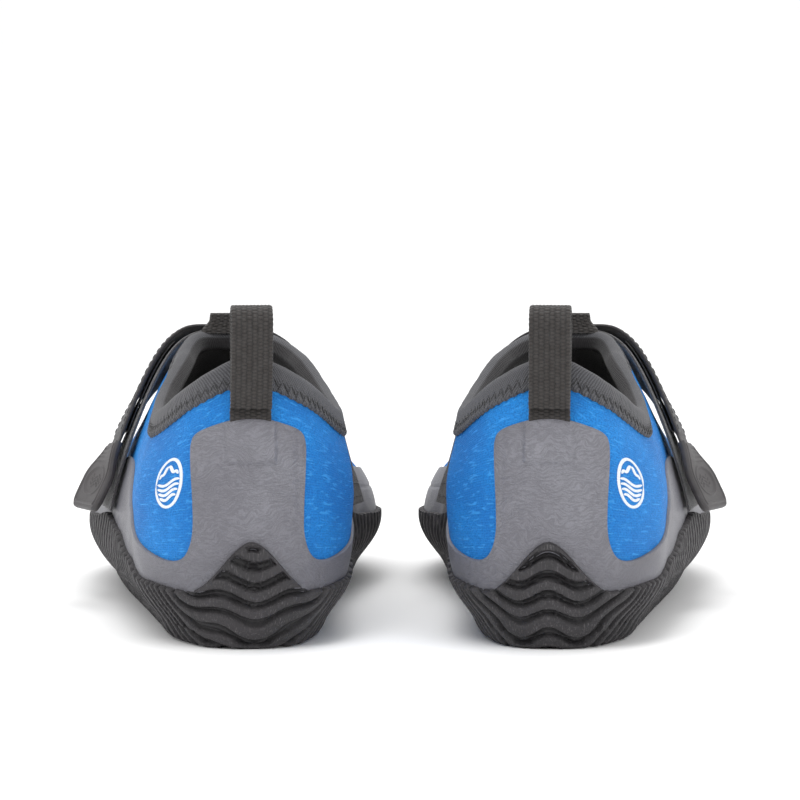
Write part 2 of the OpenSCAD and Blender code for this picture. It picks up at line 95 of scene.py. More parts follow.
# At each station from the toe: 1 where the upper is one low arch, 0 where it stands as a wall
FOLD = [1, 1, 1, 1, 0.9, 0.75, 0.5, 0.2, 0, 0, 0, 0]
# Extra height of the upper's shoulder, as a share of its height, in front of the collar
SHOULDER = [0, 0, 0, 0, 0.005, 0.03, 0.1]
# Height in v of the sole's rim and of the grey overlay's upper edge, at each station
RAND_LINE = [1.35, 1.2, 1.1, 1.1, 1.12, 1.2, 1.3, 1.22, 1.08, 0.9, 0.84, 1.4]
OVERLAY_LINE = [2.6, 2.35, 2.1, 1.96, 1.88, 1.86, 1.9, 1.84, 1.66, 1.38, 1.24, 1.24]
MEDIAL_JOIN, LATERAL_JOIN = 5.5, 6.0


def mix(p, q, t):
    return p + (q - p) * t


def smooth(x):
    t = np.clip(x, 0, 1)
    return t * t * (3 - 2 * t)


def unit(p):
    return p / np.maximum(np.linalg.norm(p, axis=-1, keepdims=True), 1e-9)


def spine(p):
    """Nearest point of the foot's middle line to each p, in plan."""
    y = np.clip(p[..., 1], 34, 226)
    return np.stack([10 * smooth((y - 60) / 180), y], -1)


def inward(p):
    return unit(spine(p) - p[..., :2])


def eased(line, k):
    """Value at k of a list given at whole stations."""
    i = np.clip(np.floor(k).astype(int), 0, len(line) - 2)
    line = np.asarray(line, float)
    return mix(line[i], line[i + 1], smooth(k - i))


def station(a):
    """Station, 0 at the toe and 11 at the heel, on either side of the foot."""
    r = np.mod(a, TURN)
    return np.where(r <= HEEL, r, TURN - r)


def row_point(k, side, row):
    """Control point of the upper at station k: row 0 at the sole, 3 at the rim and 4 at the ridge."""
    w = WIDEST[k]
    out = np.array(w[0:2] if side > 0 else w[2:4], float)
    c = CREST[k]
    rear = k > FRONT
    top = np.array([side * c[0] if rear else c[0], c[1], c[2]], float)
    goal = top
    if rear:
        rim = COLLAR[k - FRONT - 1]
        half = rim[0] - (COLLAR_INSET[k - FRONT - 1] if side < 0 else 0)
        goal = np.array([side * half, rim[1], rim[2]], float)
    f = FOLD[k]
    towards = inward(out)
    if row == -1:
        return 2 * row_point(k, side, 0) - row_point(k, side, 1)
    if row == 0:
        return np.array([*(out + towards * TUCK), FEATHER_Z])
    if row == 1:
        return np.array([*out, w[4]])
    if row == 2:
        share = (0.42, 0.5) if rear else (mix(0.35, 0.134, f), mix(0.4, 0.5, f))
        xy = mix(out, goal[:2], share[0]) - towards * WALL_BULGE * (1 - f)
        return np.array([*xy, mix(w[4], goal[2], share[1])])
    if row == 3:
        if rear:
            return goal
        height = mix(w[4], goal[2], mix(0.75, 0.866, f) + SHOULDER[k])
        return np.array([*mix(out, goal[:2], mix(0.68, 0.5, f)), height])
    if row == 4:
        return top
    if k == 0 or rear:
        return 2 * top - row_point(k, side, 3)
    return row_point(k, -side, 3)


NET = np.array([
    [row_point(a if a <= HEEL else TURN - a, 1 if a <= HEEL else -1, row) for row in range(-1, 6)]
    for a in range(TURN)
])


def weights(t):
    """Shares of four points in a row, for a smooth curve between the middle two."""
    return np.stack([
        (-t + 2 * t**2 - t**3) / 2, (2 - 5 * t**2 + 3 * t**3) / 2,
        (t + 4 * t**2 - 3 * t**3) / 2, (-t**2 + t**3) / 2,
    ], -1)


def slopes(t):
    return np.stack([
        (-1 + 4 * t - 3 * t**2) / 2, (-10 * t + 9 * t**2) / 2,
        (1 + 8 * t - 9 * t**2) / 2, (-2 * t + 3 * t**2) / 2,
    ], -1)


def over_ridge(a, v):
    """The same point, with v past the ridge turned into v on the other side."""
    a, v = np.broadcast_arrays(np.asarray(a, float), np.asarray(v, float))
    return np.where(v > 4, TURN - a, a), np.where(v > 4, 8 - v, v)


def patch_of(a, v, wa, wv):
    """Sum over the net round a and v with those weights."""
    ia = np.floor(a).astype(int)
    iv = np.clip(np.floor(v).astype(int), 0, 3)
    rows = wa(a - ia)
    columns = wv(v - iv)
    stations = np.mod(ia[..., None] + np.arange(-1, 3), TURN)
    near = NET[stations[..., :, None], (iv[..., None] + np.arange(4))[..., None, :]]
    return np.einsum("...i,...j,...ijk->...k", rows, columns, near)


def form(a, v):
    """Point of the upper's outer face: a runs round the foot from the toe, v from the sole to the ridge."""
    a, v = over_ridge(a, v)
    return patch_of(a, v, weights, weights)


def normal(a, v):
    a, v = over_ridge(a, v)
    w = np.where(station(a) < 0.6, np.minimum(v, 3.9), v)
    return unit(np.cross(patch_of(a, w, weights, slopes), patch_of(a, w, slopes, weights)))


def skin(a, v, d):
    """Point at a and v on the upper's outer face, moved out by d."""
    return form(a, v) + normal(a, v) * np.asarray(d, float)[..., None]


def top_v(k):
    """The v at which the panels end under the collar's edge."""
    k = np.asarray(k, float)
    r = 1 + 0.05 * (1 - smooth((k - FRONT - 0.4) / 0.6))
    side_on = np.clip(FRONT + 1 - k, 0, r)
    return np.where(k >= FRONT + 1, 3, np.where(FRONT + 1 - k >= r, 4, 4 - np.sqrt(r ** 2 - side_on ** 2)))


def rand_v(a):
    """The v of the sole's rim."""
    return eased(RAND_LINE, station(a))


BEND = 0.22


def collar_kv(s, w):
    """Station and v at s along the collar, 0 on the instep and 1 at the heel, w mm below the edge."""
    scale = np.where(s < BEND, mix(30, 22, s / BEND), mix(22, 33, (s - BEND) / (1 - BEND)))
    r = 1 + w / scale
    angle = np.radians(90) * s / BEND
    front_k, front_v = FRONT + 1 - r * np.cos(angle), 4 - r * np.sin(angle)
    rear_k = mix(FRONT + 1, HEEL, (s - BEND) / (1 - BEND))
    return np.where(s < BEND, front_k, rear_k), np.where(s < BEND, front_v, 4 - r)


def collar_point(t, w, d):
    """Point round the collar: t from 0 to 1 down the medial half and 1 to 2 back along the lateral half."""
    t, w, d = np.broadcast_arrays(*[np.asarray(x, float) for x in (t, w, d)])
    t = np.mod(t, 2)
    s = np.where(t <= 1, t, 2 - t)
    medial = t <= 1

    def at(below):
        k, v = collar_kv(s, below)
        return skin(np.where(medial, k, TURN - k), v, d)

    edge = at(np.maximum(w, 0))
    up = unit(edge - at(np.full_like(s, 2.0)))
    return edge + up * np.maximum(-w, 0)[..., None]


# --- Placing and making meshes --------------------------------------------------------------
def placed(points, side):
    """Local mm to the frame's metres, for the left shoe or its mirror image."""
    p = np.asarray(points, float)
    c, s = math.cos(TOE_OUT), math.sin(TOE_OUT)
    x = p[..., 0] * c - p[..., 1] * s - HEEL_SPACING / 2
    y = p[..., 0] * s + p[..., 1] * c - HEEL_BACK
    if side == "right":
        x = -x
    return np.stack([x, y, p[..., 2]], -1) * MM


def make_mesh(name, points, faces, side, cloth=None, extra=None, sharp=48):
    """A mesh object. cloth holds each point's place on its own cloth, in mm."""
    points = np.asarray(points, float).reshape(-1, 3)
    mesh = bpy.data.meshes.new(name)
    mesh.from_pydata(placed(points, side).tolist(), [], [tuple(int(i) for i in f) for f in faces])
    if cloth is not None:
        layer = mesh.attributes.new("cloth", "FLOAT_VECTOR", "POINT")
        layer.data.foreach_set("vector", np.asarray(cloth, np.float32).reshape(-1))
    for key, values in (extra or {}).items():
        layer = mesh.attributes.new(key, "FLOAT", "POINT")
        layer.data.foreach_set("value", np.asarray(values, np.float32).reshape(-1))
    work = bmesh.new()
    work.from_mesh(mesh)
    bmesh.ops.recalc_face_normals(work, faces=work.faces)
    work.to_mesh(mesh)
    work.free()
    mesh.polygons.foreach_set("use_smooth", np.ones(len(mesh.polygons), bool))
    mesh.set_sharp_from_angle(angle=math.radians(sharp))
    mesh.update()
    piece = bpy.data.objects.new(name, mesh)
    bpy.context.scene.collection.objects.link(piece)
    return piece


def strip_faces(ids, wrap_i=False, wrap_j=False, flip=False):
    """Quads over a grid of point numbers."""
    nxt_i = np.roll(ids, -1, 0) if wrap_i else ids[1:]
    cur_i = ids if wrap_i else ids[:-1]
    if wrap_j:
        a, b, c, d = cur_i, nxt_i, np.roll(nxt_i, -1, 1), np.roll(cur_i, -1, 1)
    else:
        a, b, c, d = cur_i[:, :-1], nxt_i[:, :-1], nxt_i[:, 1:], cur_i[:, 1:]
    quads = np.stack([a, b, c, d], -1).reshape(-1, 4)
    if flip:
        quads = quads[:, ::-1]
    keep = []
    for q in quads.tolist():
        unique = [x for i, x in enumerate(q) if x != q[i - 1]]
        if len(set(unique)) >= 3:
            keep.append(tuple(unique))
    return keep


def on_cloth(x, y):
    """Places on a flat cloth from x and y in mm."""
    x, y = np.broadcast_arrays(x, y)
    return np.stack([x, y, y * 0], -1)


def shell(name, outer, inner, side, cloth, closed=False, zip_columns=None, sharp=48):
    """Closed sheet between two grids of points [column, row].
    zip_columns marks the columns whose last point is shared with the mirrored column."""
    n, m = outer.shape[:2]
    ids = np.arange(n * m).reshape(n, m)
    if zip_columns is not None:
        for i in range(n):
            j = (n - i) % n if closed else n - 1 - i
            if zip_columns[i] and j < i:
                ids[i, -1] = ids[j, -1]
    under = ids + n * m
    faces = strip_faces(ids, wrap_i=closed) + strip_faces(under, wrap_i=closed, flip=True)
    rim = np.stack([under[:, 0], ids[:, 0]], 1)
    faces += strip_faces(rim, wrap_i=closed)
    top = np.stack([ids[:, -1], under[:, -1]], 1)
    if zip_columns is None:
        faces += strip_faces(top, wrap_i=closed)
    else:
        for i in range(n if closed else n - 1):
            j = (i + 1) % n
            if not (zip_columns[i] and zip_columns[j]):
                faces.append((top[i, 0], top[j, 0], top[j, 1], top[i, 1]))
    if not closed:
        faces += strip_faces(np.stack([ids[0], under[0]], 0))
        faces += strip_faces(np.stack([under[-1], ids[-1]], 0))
    points = np.concatenate([outer.reshape(-1, 3), inner.reshape(-1, 3)])
    both = np.concatenate([cloth.reshape(-1, 3)] * 2)
    used = sorted(set(i for f in faces for i in f))
    number = {old: new for new, old in enumerate(used)}
    faces = [tuple(number[i] for i in f) for f in faces]
    return make_mesh(name, points[used], faces, side, both[used], sharp=sharp)


def tube(name, rings, side, cloth, closed=False, sharp=48):
    """Skin over rings of points [station, section point], capped unless closed."""
    n, m = rings.shape[:2]
    ids = np.arange(n * m).reshape(n, m)
    faces = strip_faces(ids, wrap_i=closed, wrap_j=True)
    if not closed:
        faces += [tuple(ids[0].tolist()), tuple(ids[-1][::-1].tolist())]
    return make_mesh(name, rings, faces, side, cloth, sharp=sharp)


def arc_length(points):
    """Running length along each row of points, on the first axis."""
    steps = np.linalg.norm(np.diff(points, axis=0), axis=-1)
    return np.concatenate([np.zeros_like(steps[:1]), np.cumsum(steps, 0)])


def curve_through(points, per_span):
    """Points of a smooth curve through the given ones, per_span steps between each two."""
    p = np.asarray(points, float)
    padded = np.concatenate([[2 * p[0] - p[1]], p, [2 * p[-1] - p[-2]]])
    out = []
    for i in range(len(p) - 1):
        t = np.arange(per_span) / per_span
        out.append(weights(t) @ padded[i:i + 4])
    return np.concatenate(out + [p[-1:]])


def hash_noise(x, y, z, seed):
    """Even random numbers from 0 to 1 at whole grid points."""
    n = (x * 374761393 + y * 668265263 + z * 2147483647 + seed * 1274126177) & 0xFFFFFFFF
    n = ((n ^ (n >> 13)) * 1274126177) & 0xFFFFFFFF
    return ((n ^ (n >> 16)) & 0xFFFF) / 65535.0


def lumps(points, size, seed):
    """Smooth random field from -1 to 1 over space, with lumps of about that size in mm."""
    q = np.asarray(points, float) / size
    base = np.floor(q).astype(np.int64)
    f = q - base
    f = f * f * (3 - 2 * f)
    total = 0
    for dx in (0, 1):
        for dy in (0, 1):
            for dz in (0, 1):
                w = 1
                for axis, corner in enumerate((dx, dy, dz)):
                    w = w * (f[..., axis] if corner else 1 - f[..., axis])
                x, y, z = base[..., 0] + dx, base[..., 1] + dy, base[..., 2] + dz
                total = total + w * hash_noise(x, y, z, seed)
    return total * 2 - 1


# --- Materials --------------------------------------------------------------------------------
def linear(*rgb):
    """A screen colour, 0 to 255, as linear light."""
    shares = [c / 255 for c in rgb]
    return tuple((c / 12.92) if c <= 0.04045 else ((c + 0.055) / 1.055) ** 2.4 for c in shares) + (1.0,)


class Paint:
    """Builds one node material."""

    def __init__(self, name, roughness=0.7, **settings):
        self.material = bpy.data.materials.new(name)
        self.material.use_nodes = True
        self.tree = self.material.node_tree
        self.shader = self.tree.nodes["Principled BSDF"]
        self.shader.inputs["Roughness"].default_value = roughness
        for key, value in settings.items():
            self.shader.inputs[key.replace("_", " ")].default_value = value
        self.height = None

    def node(self, kind, inputs=(), **settings):
        n = self.tree.nodes.new(kind)
        for key, value in settings.items():
            setattr(n, key, value)
        for key, value in dict(inputs).items():
            self.feed(n.inputs[key], value)
        return n

    def feed(self, socket, value):
        if isinstance(value, bpy.types.NodeSocket):
            self.tree.links.new(value, socket)
        else:
            socket.default_value = value

    def math(self, operation, a, b=0.0):
        return self.node("ShaderNodeMath", {0: a, 1: b}, operation=operation).outputs[0]

    def place(self):
        """Place in space, in mm."""
        at = self.node("ShaderNodeTexCoord").outputs["Object"]
        return self.node("ShaderNodeVectorMath", {0: at, 3: 1 / MM}, operation="SCALE").outputs[0]

    def cloth(self):
        """Place on the cloth, in mm."""
        return self.node("ShaderNodeAttribute", attribute_name="cloth").outputs["Vector"]

    def value(self, name):
        return self.node("ShaderNodeAttribute", attribute_name=name).outputs["Fac"]

    def split(self, vector):
        return self.node("ShaderNodeSeparateXYZ", {0: vector}).outputs

    def scaled(self, vector, x, y, z):
        inputs = {0: vector, 1: (x, y, z)}
        return self.node("ShaderNodeVectorMath", inputs, operation="MULTIPLY").outputs[0]

    def noise(self, vector, scale, detail=3.0, roughness=0.55, distortion=0.0):
        inputs = {"Vector": vector, "Scale": scale, "Detail": detail, "Roughness": roughness}
        inputs["Distortion"] = distortion
        return self.node("ShaderNodeTexNoise", inputs).outputs["Fac"]

    def cells(self, vector, scale, feature="F1"):
        inputs = {"Vector": vector, "Scale": scale}
        return self.node("ShaderNodeTexVoronoi", inputs, feature=feature).outputs["Distance"]

    def ramp(self, value, low, high, a=0.0, b=1.0):
        inputs = {"Value": value, "From Min": low, "From Max": high, "To Min": a, "To Max": b}
        return self.node("ShaderNodeMapRange", inputs, interpolation_type="SMOOTHSTEP").outputs[0]

    def blend(self, factor, a, b):
        n = self.node("ShaderNodeMix", data_type="RGBA")
        for socket, value in ((n.inputs["Factor"], factor), (n.inputs[6], a), (n.inputs[7], b)):
            self.feed(socket, value)
        return n.outputs[2]

    def colour(self, value):
        self.feed(self.shader.inputs["Base Color"], value)

    def rough(self, value):
        self.feed(self.shader.inputs["Roughness"], value)

    def bump(self, height, mm, strength=1.0):
        """Relief of that many mm for a height from 0 to 1. Calls add up."""
        inputs = {"Height": height, "Distance": mm * MM, "Strength": strength}
        if self.height is not None:
            inputs["Normal"] = self.height
        self.height = self.node("ShaderNodeBump", inputs).outputs[0]
        self.tree.links.new(self.height, self.shader.inputs["Normal"])

    def weave(self, along, across, rows=1.7, columns=1.15):
        """Height of a plain weave with that row and column spacing in mm."""
        row = self.math("DIVIDE", along, rows)
        shift = self.math("MULTIPLY", self.math("MODULO", self.math("FLOOR", row), 2.0), 0.5)
        column = self.math("ADD", self.math("DIVIDE", across, columns), shift)
        up = self.math("SINE", self.math("MULTIPLY", self.math("FRACT", row), math.pi))
        over = self.math("SINE", self.math("MULTIPLY", self.math("FRACT", column), math.pi))
        return self.math("POWER", self.math("MULTIPLY", up, self.math("ABSOLUTE", over)), 0.6)


def neoprene_paint():
    p = Paint("neoprene_blue", 0.72, Sheen_Weight=0.08, Sheen_Roughness=0.4)
    p.shader.inputs["Sheen Tint"].default_value = linear(90, 170, 235)
    p.shader.inputs["Specular IOR Level"].default_value = 0.3
    at, cloth = p.place(), p.cloth()
    knit = p.weave(p.split(cloth)[1], p.split(cloth)[0], rows=0.8, columns=0.66)
    speckle = p.noise(at, 1.7, 2.0, 0.7)
    streak = p.ramp(p.noise(p.scaled(cloth, 0.2, 1.0, 1.0), 1.0, 2.0, 0.5, 0.5), 0.55, 0.68)
    wide = p.noise(at, 0.05, 2.0)
    base = p.blend(p.ramp(wide, 0.3, 0.7), linear(12, 104, 180), linear(20, 128, 206))
    base = p.blend(p.ramp(speckle, 0.42, 0.62, 0.0, 0.75), base, linear(10, 88, 160))
    base = p.blend(p.math("MULTIPLY", streak, 0.5), base, linear(70, 168, 240))
    p.colour(p.blend(p.math("MULTIPLY", knit, 0.3), base, linear(48, 148, 232)))
    p.rough(p.ramp(speckle, 0.2, 0.8, 0.62, 0.82))
    p.bump(knit, 0.16, 0.8)
    p.bump(speckle, 0.25, 0.7)
    p.bump(streak, 0.2, 0.6)
    return p.material


def overlay_paint():
    p = Paint("overlay_grey", 0.5, Coat_Weight=0.05)
    at = p.place()
    bent = p.noise(at, 0.07, 2.0)
    across, up = p.math("MULTIPLY", bent, 9.0), p.math("MULTIPLY", bent, 16.0)
    sway = p.node("ShaderNodeCombineXYZ", {0: across, 1: 0.0, 2: up}).outputs[0]
    moved = p.node("ShaderNodeVectorMath", {0: at, 1: sway}, operation="ADD").outputs[0]
    # Fine wavy lines, about 1 mm apart, broken up like leather
    lines = p.noise(p.scaled(moved, 0.42, 0.42, 2.1), 1.0, 2.0, 0.55, 0.7)
    grain = p.cells(at, 1.3, "DISTANCE_TO_EDGE")
    dents = p.noise(at, 0.22, 2.0)
    wide = p.ramp(p.noise(at, 0.03, 2.0), 0.3, 0.7)
    base = p.blend(wide, linear(112, 111, 118), linear(126, 126, 133))
    # Painted shade: a little darker towards the sole, where less light falls from above
    base = p.blend(p.ramp(p.split(at)[2], 14.0, 42.0, 0.45, 0.0), base, linear(84, 83, 89))
    base = p.blend(p.ramp(lines, 0.4, 0.6, 0.45, 0.0), base, linear(82, 81, 88))
    p.colour(p.blend(p.ramp(grain, 0.0, 0.09, 0.25, 0.0), base, linear(74, 73, 80)))
    p.rough(p.ramp(lines, 0.3, 0.7, 0.42, 0.6))
    p.bump(lines, 0.4, 0.7)
    p.bump(p.ramp(grain, 0.0, 0.15), 0.1, 0.7)
    p.bump(dents, 0.5, 0.5)
    return p.material


def binding_paint():
    p = Paint("binding_knit", 0.85, Sheen_Weight=0.12, Sheen_Roughness=0.5)
    cloth, at = p.cloth(), p.place()
    s, w, depth = p.split(cloth)
    wobble = p.math("MULTIPLY", p.noise(at, 0.6, 2.0), 0.8)
    diagonal = p.math("ADD", p.math("ADD", s, p.math("MULTIPLY", w, 0.7)), wobble)
    line = p.math("ABSOLUTE", p.math("SINE", p.math("MULTIPLY", diagonal, math.pi / 0.95)))
    loops = p.math("ABSOLUTE", p.math("SINE", p.math("MULTIPLY", w, math.pi / 0.6)))
    knit = p.math("MULTIPLY", line, p.math("ADD", p.math("MULTIPLY", loops, 0.4), 0.6))
    base = p.blend(knit, linear(44, 44, 47), linear(88, 88, 92))
    base = p.blend(p.ramp(p.noise(at, 1.2, 2.0), 0.35, 0.7, 0.0, 0.35), base, linear(60, 60, 64))
    # Painted shade: the facing inside the collar is made as dark as the lining, for the shade inside the
    # shoe
    p.colour(p.blend(p.ramp(depth, -2.3, -1.3, 1.0, 0.0), base, linear(20, 17, 20)))
    p.bump(knit, 0.16, 0.9)
    p.bump(p.noise(at, 3.0, 2.0), 0.06, 0.8)
    return p.material


def webbing_paint(name, dark, light, rows=1.7, columns=1.15, relief=0.3):
    p = Paint(name, 0.8, Sheen_Weight=0.15)
    cloth, at = p.cloth(), p.place()
    weave = p.weave(p.split(cloth)[0], p.split(cloth)[1], rows, columns)
    fibre = p.noise(p.scaled(cloth, 6.0, 1.6, 1.0), 1.0, 2.0, 0.7)
    base = p.blend(weave, dark, light)
    p.colour(p.blend(p.ramp(fibre, 0.3, 0.75, 0.0, 0.4), base, dark))
    p.rough(p.ramp(p.noise(at, 0.5, 2.0), 0.3, 0.7, 0.68, 0.88))
    p.bump(weave, relief, 0.9)
    p.bump(fibre, 0.06, 0.7)
    return p.material


def pile_paint():
    p = Paint("loop_pile", 0.95, Sheen_Weight=0.5, Sheen_Roughness=0.6)
    at = p.place()
    curls = p.cells(at, 1.5)
    fuzz = p.noise(at, 2.4, 3.0, 0.7, 1.2)
    base = p.blend(p.ramp(curls, 0.1, 0.7), linear(66, 63, 67), linear(30, 28, 31))
    p.colour(p.blend(p.ramp(fuzz, 0.4, 0.7), base, linear(52, 49, 53)))
    p.bump(curls, 0.4, 0.8)
    p.bump(fuzz, 0.3, 0.8)
    return p.material


def rubber_paint():
    p = Paint("sole_rubber", 0.62)
    at = p.place()
    rib = p.value("rib")
    scratch = p.noise(p.scaled(at, 2.6, 2.6, 0.22), 1.0, 3.0, 0.65)
    speck = p.cells(at, 1.1)
    wide = p.noise(at, 0.06, 2.0)
    base = p.blend(p.ramp(wide, 0.3, 0.7), linear(33, 31, 34), linear(46, 43, 46))
    base = p.blend(p.ramp(scratch, 0.5, 0.74, 0.0, 0.65), base, linear(100, 97, 99))
    base = p.blend(p.ramp(speck, 0.05, 0.16, 0.45, 0.0), base, linear(104, 101, 103))
    # Painted shade: the grooves between the ribs are darker than the rib faces
    p.colour(p.blend(p.ramp(rib, 0.15, 0.95, 0.75, 0.0), base, linear(20, 19, 21)))
    p.rough(p.ramp(scratch, 0.3, 0.75, 0.5, 0.74))
    p.bump(scratch, 0.3, 0.7)
    p.bump(p.noise(at, 1.6, 2.0), 0.22, 0.8)
    return p.material


def moulded_paint(name, low, high, roughness, grain_size, relief):
    p = Paint(name, roughness)
    at = p.place()
    grain = p.cells(at, 1 / grain_size)
    wide = p.noise(at, 0.08, 3.0)
    worn = p.ramp(p.noise(at, 0.7, 4.0, 0.7), 0.58, 0.75, 0.0, 0.35)
    base = p.blend(p.ramp(wide, 0.3, 0.7), low, high)
    p.colour(p.blend(worn, base, high))
    p.rough(p.ramp(wide, 0.3, 0.7, roughness - 0.08, roughness + 0.1))
    p.bump(grain, relief, 0.7)
    return p.material


def jersey_paint(name, dark, light, pitch=0.7):
    p = Paint(name, 0.9, Sheen_Weight=0.2)
    at, cloth = p.place(), p.cloth()
    knit = p.weave(p.split(cloth)[0], p.split(cloth)[1], rows=pitch, columns=pitch * 0.8)
    fuzz = p.noise(at, 1.5, 3.0, 0.7)
    p.colour(p.blend(p.ramp(fuzz, 0.3, 0.7), p.blend(knit, dark, light), dark))
    p.bump(knit, 0.15, 0.8)
    p.bump(fuzz, 0.15, 0.7)
    return p.material


def foam_paint():
    p = Paint("eva_foam", 0.85)
    at = p.place()
    pores = p.cells(at, 1.7)
    p.colour(p.blend(p.ramp(pores, 0.1, 0.6), linear(26, 26, 29), linear(52, 52, 57)))
    p.bump(pores, 0.12, 0.8)
    return p.material


def print_paint():
    p = Paint("print_film", 0.38, Coat_Weight=0.1)
    at = p.place()
    crackle = p.cells(at, 0.8, "DISTANCE_TO_EDGE")
    cracks = p.ramp(crackle, 0.0, 0.05, 0.5, 0.0)
    p.colour(p.blend(cracks, linear(222, 226, 230), linear(150, 170, 190)))
    p.bump(p.noise(at, 1.8, 2.0), 0.05, 0.6)
    return p.material


def thread_paint():
    p = Paint("thread_black", 0.55, Sheen_Weight=0.2)
    x, y, _ = p.split(p.cloth())
    twist = p.math("SINE", p.math("MULTIPLY", p.math("ADD", x, y), 9.0))
    p.colour(p.blend(p.ramp(twist, -1.0, 1.0), linear(16, 16, 18), linear(48, 48, 52)))
    p.bump(twist, 0.05, 0.8)
    return p.material


PAINTS = {
    "rubber_sole": rubber_paint(),
    "foam": foam_paint(),
    "board": jersey_paint("board_fibre", linear(112, 108, 100), linear(160, 156, 146), 1.1),
    "footbed": jersey_paint("footbed_jersey", linear(26, 23, 27), linear(50, 46, 52), 1.0),
    # Lining: dark jersey, made darker still as painted shade inside the shoe
    "lining": jersey_paint("lining_jersey", linear(14, 11, 13), linear(30, 26, 29), 0.8),
    "neoprene": neoprene_paint(),
    "overlay": overlay_paint(),
    "binding": binding_paint(),
    "thread": thread_paint(),
    "print": print_paint(),
    "webbing": webbing_paint("webbing_dark", linear(24, 22, 21), linear(54, 49, 47)),
    "loop_tape": pile_paint(),
    "ring": moulded_paint("ring_acetal", linear(104, 102, 107), linear(128, 127, 132), 0.4, 0.5, 0.03),
    "strap": webbing_paint("strap_weave", linear(28, 26, 27), linear(56, 52, 54), 1.0, 0.8, 0.1),
    "hook": moulded_paint("hook_tape", linear(18, 17, 19), linear(40, 39, 42), 0.5, 0.9, 0.4),
    "tab": moulded_paint("tab_rubber", linear(50, 47, 48), linear(72, 69, 70), 0.55, 0.45, 0.06),
}


def paint_piece(piece, slot):
    """Material and slot of a piece that is attached to no body."""
    piece.data.materials.append(PAINTS[slot])
    return piece


def finish_piece(piece, side, body, slot, node=None):
    """Material, body, slot and the CAD node that the piece stands for."""
    piece.data.materials.append(PAINTS[slot])
    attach(piece, f"{side}_{body}")
    if node:
        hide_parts(f"{side}_{node}")
    return piece


# --- Sole and inside --------------------------------------------------------------------------
RIB_PITCH = 6.5
RIB_DEPTH = 2.1
STEPS_PER_STATION = 40
TOE_SPRING = 2.5
# Waves of the heel ribs: middle, wavelength and height
HEEL_WAVE = {"left": (1.5, 25, 2.1), "right": (0.0, 20, -1.9)}


def level_ring(a, inset, z):
    """Foot outline in plan, moved inwards, at height z."""
    p = form(a, 0.0)
    xy = p[..., :2] + inward(p) * np.asarray(inset, float)[..., None]
    return np.concatenate([xy, np.broadcast_to(np.asarray(z, float), xy.shape[:-1])[..., None]], -1)


def toe_lift(y):
    return TOE_SPRING * smooth((y - 225) / 50)


def rib_height(p, n, side):
    """1 on a rib's face and 0 in the groove, for outsole points p with normals n."""
    x, y, z = p[..., 0], p[..., 1], p[..., 2]
    back = smooth((-n[..., 1] - 0.1) / 0.8)
    front = smooth((n[..., 1] - 0.1) / 0.8)
    length = y * smooth((y - 1) / 26) - z * back + z * front
    middle, wavelength, height = HEEL_WAVE[side]
    wave = np.cos(2 * np.pi * (x - middle) / wavelength) * height
    flank = smooth((np.abs(n[..., 0]) - 0.62) / 0.3)
    ripple = 0.5 * np.sin(z * 0.55 + 1.3 * np.sin(y * 0.09)) * flank
    length = length - wave * (1 - 0.85 * flank) + ripple
    t = np.mod(length / RIB_PITCH + 0.2, 1.0)
    edge = 0.06

    def step(at):
        return smooth((t - at + edge) / (2 * edge))

    face = 1 - step(0.5) + step(1.0 - edge)
    ledge = 0.4 * (step(0.66) - step(0.8))
    return np.clip(face + ledge, 0, 1)


def rungs(grid, row, lines, first, change=None):
    """Lines of points across the ring at that row of the grid, and the faces that close the ring.
    first is the number of the first new point. change may move the points, and its result is passed on."""
    n = len(grid)
    half = n // 2
    back = (-np.arange(half + 1)) % n
    ids = np.arange(grid[..., 0].size).reshape(n, -1)[:, row]
    ends = grid[:half + 1, row][:, None], grid[back, row][:, None]
    share = np.linspace(0, 1, lines + 1)[None, 1:-1, None]
    middle = ends[0] * (1 - share) + ends[1] * share
    kept = change(middle, share[..., 0], *ends) if change else np.ones(middle.shape[:2])
    inside = np.arange(middle[..., 0].size).reshape(middle.shape[:2]) + first
    table = np.concatenate([ids[:half + 1][:, None], inside, ids[back][:, None]], 1)
    table[0, :] = ids[0]
    table[-1, :] = ids[half]
    return middle, strip_faces(table, flip=row == 0), kept


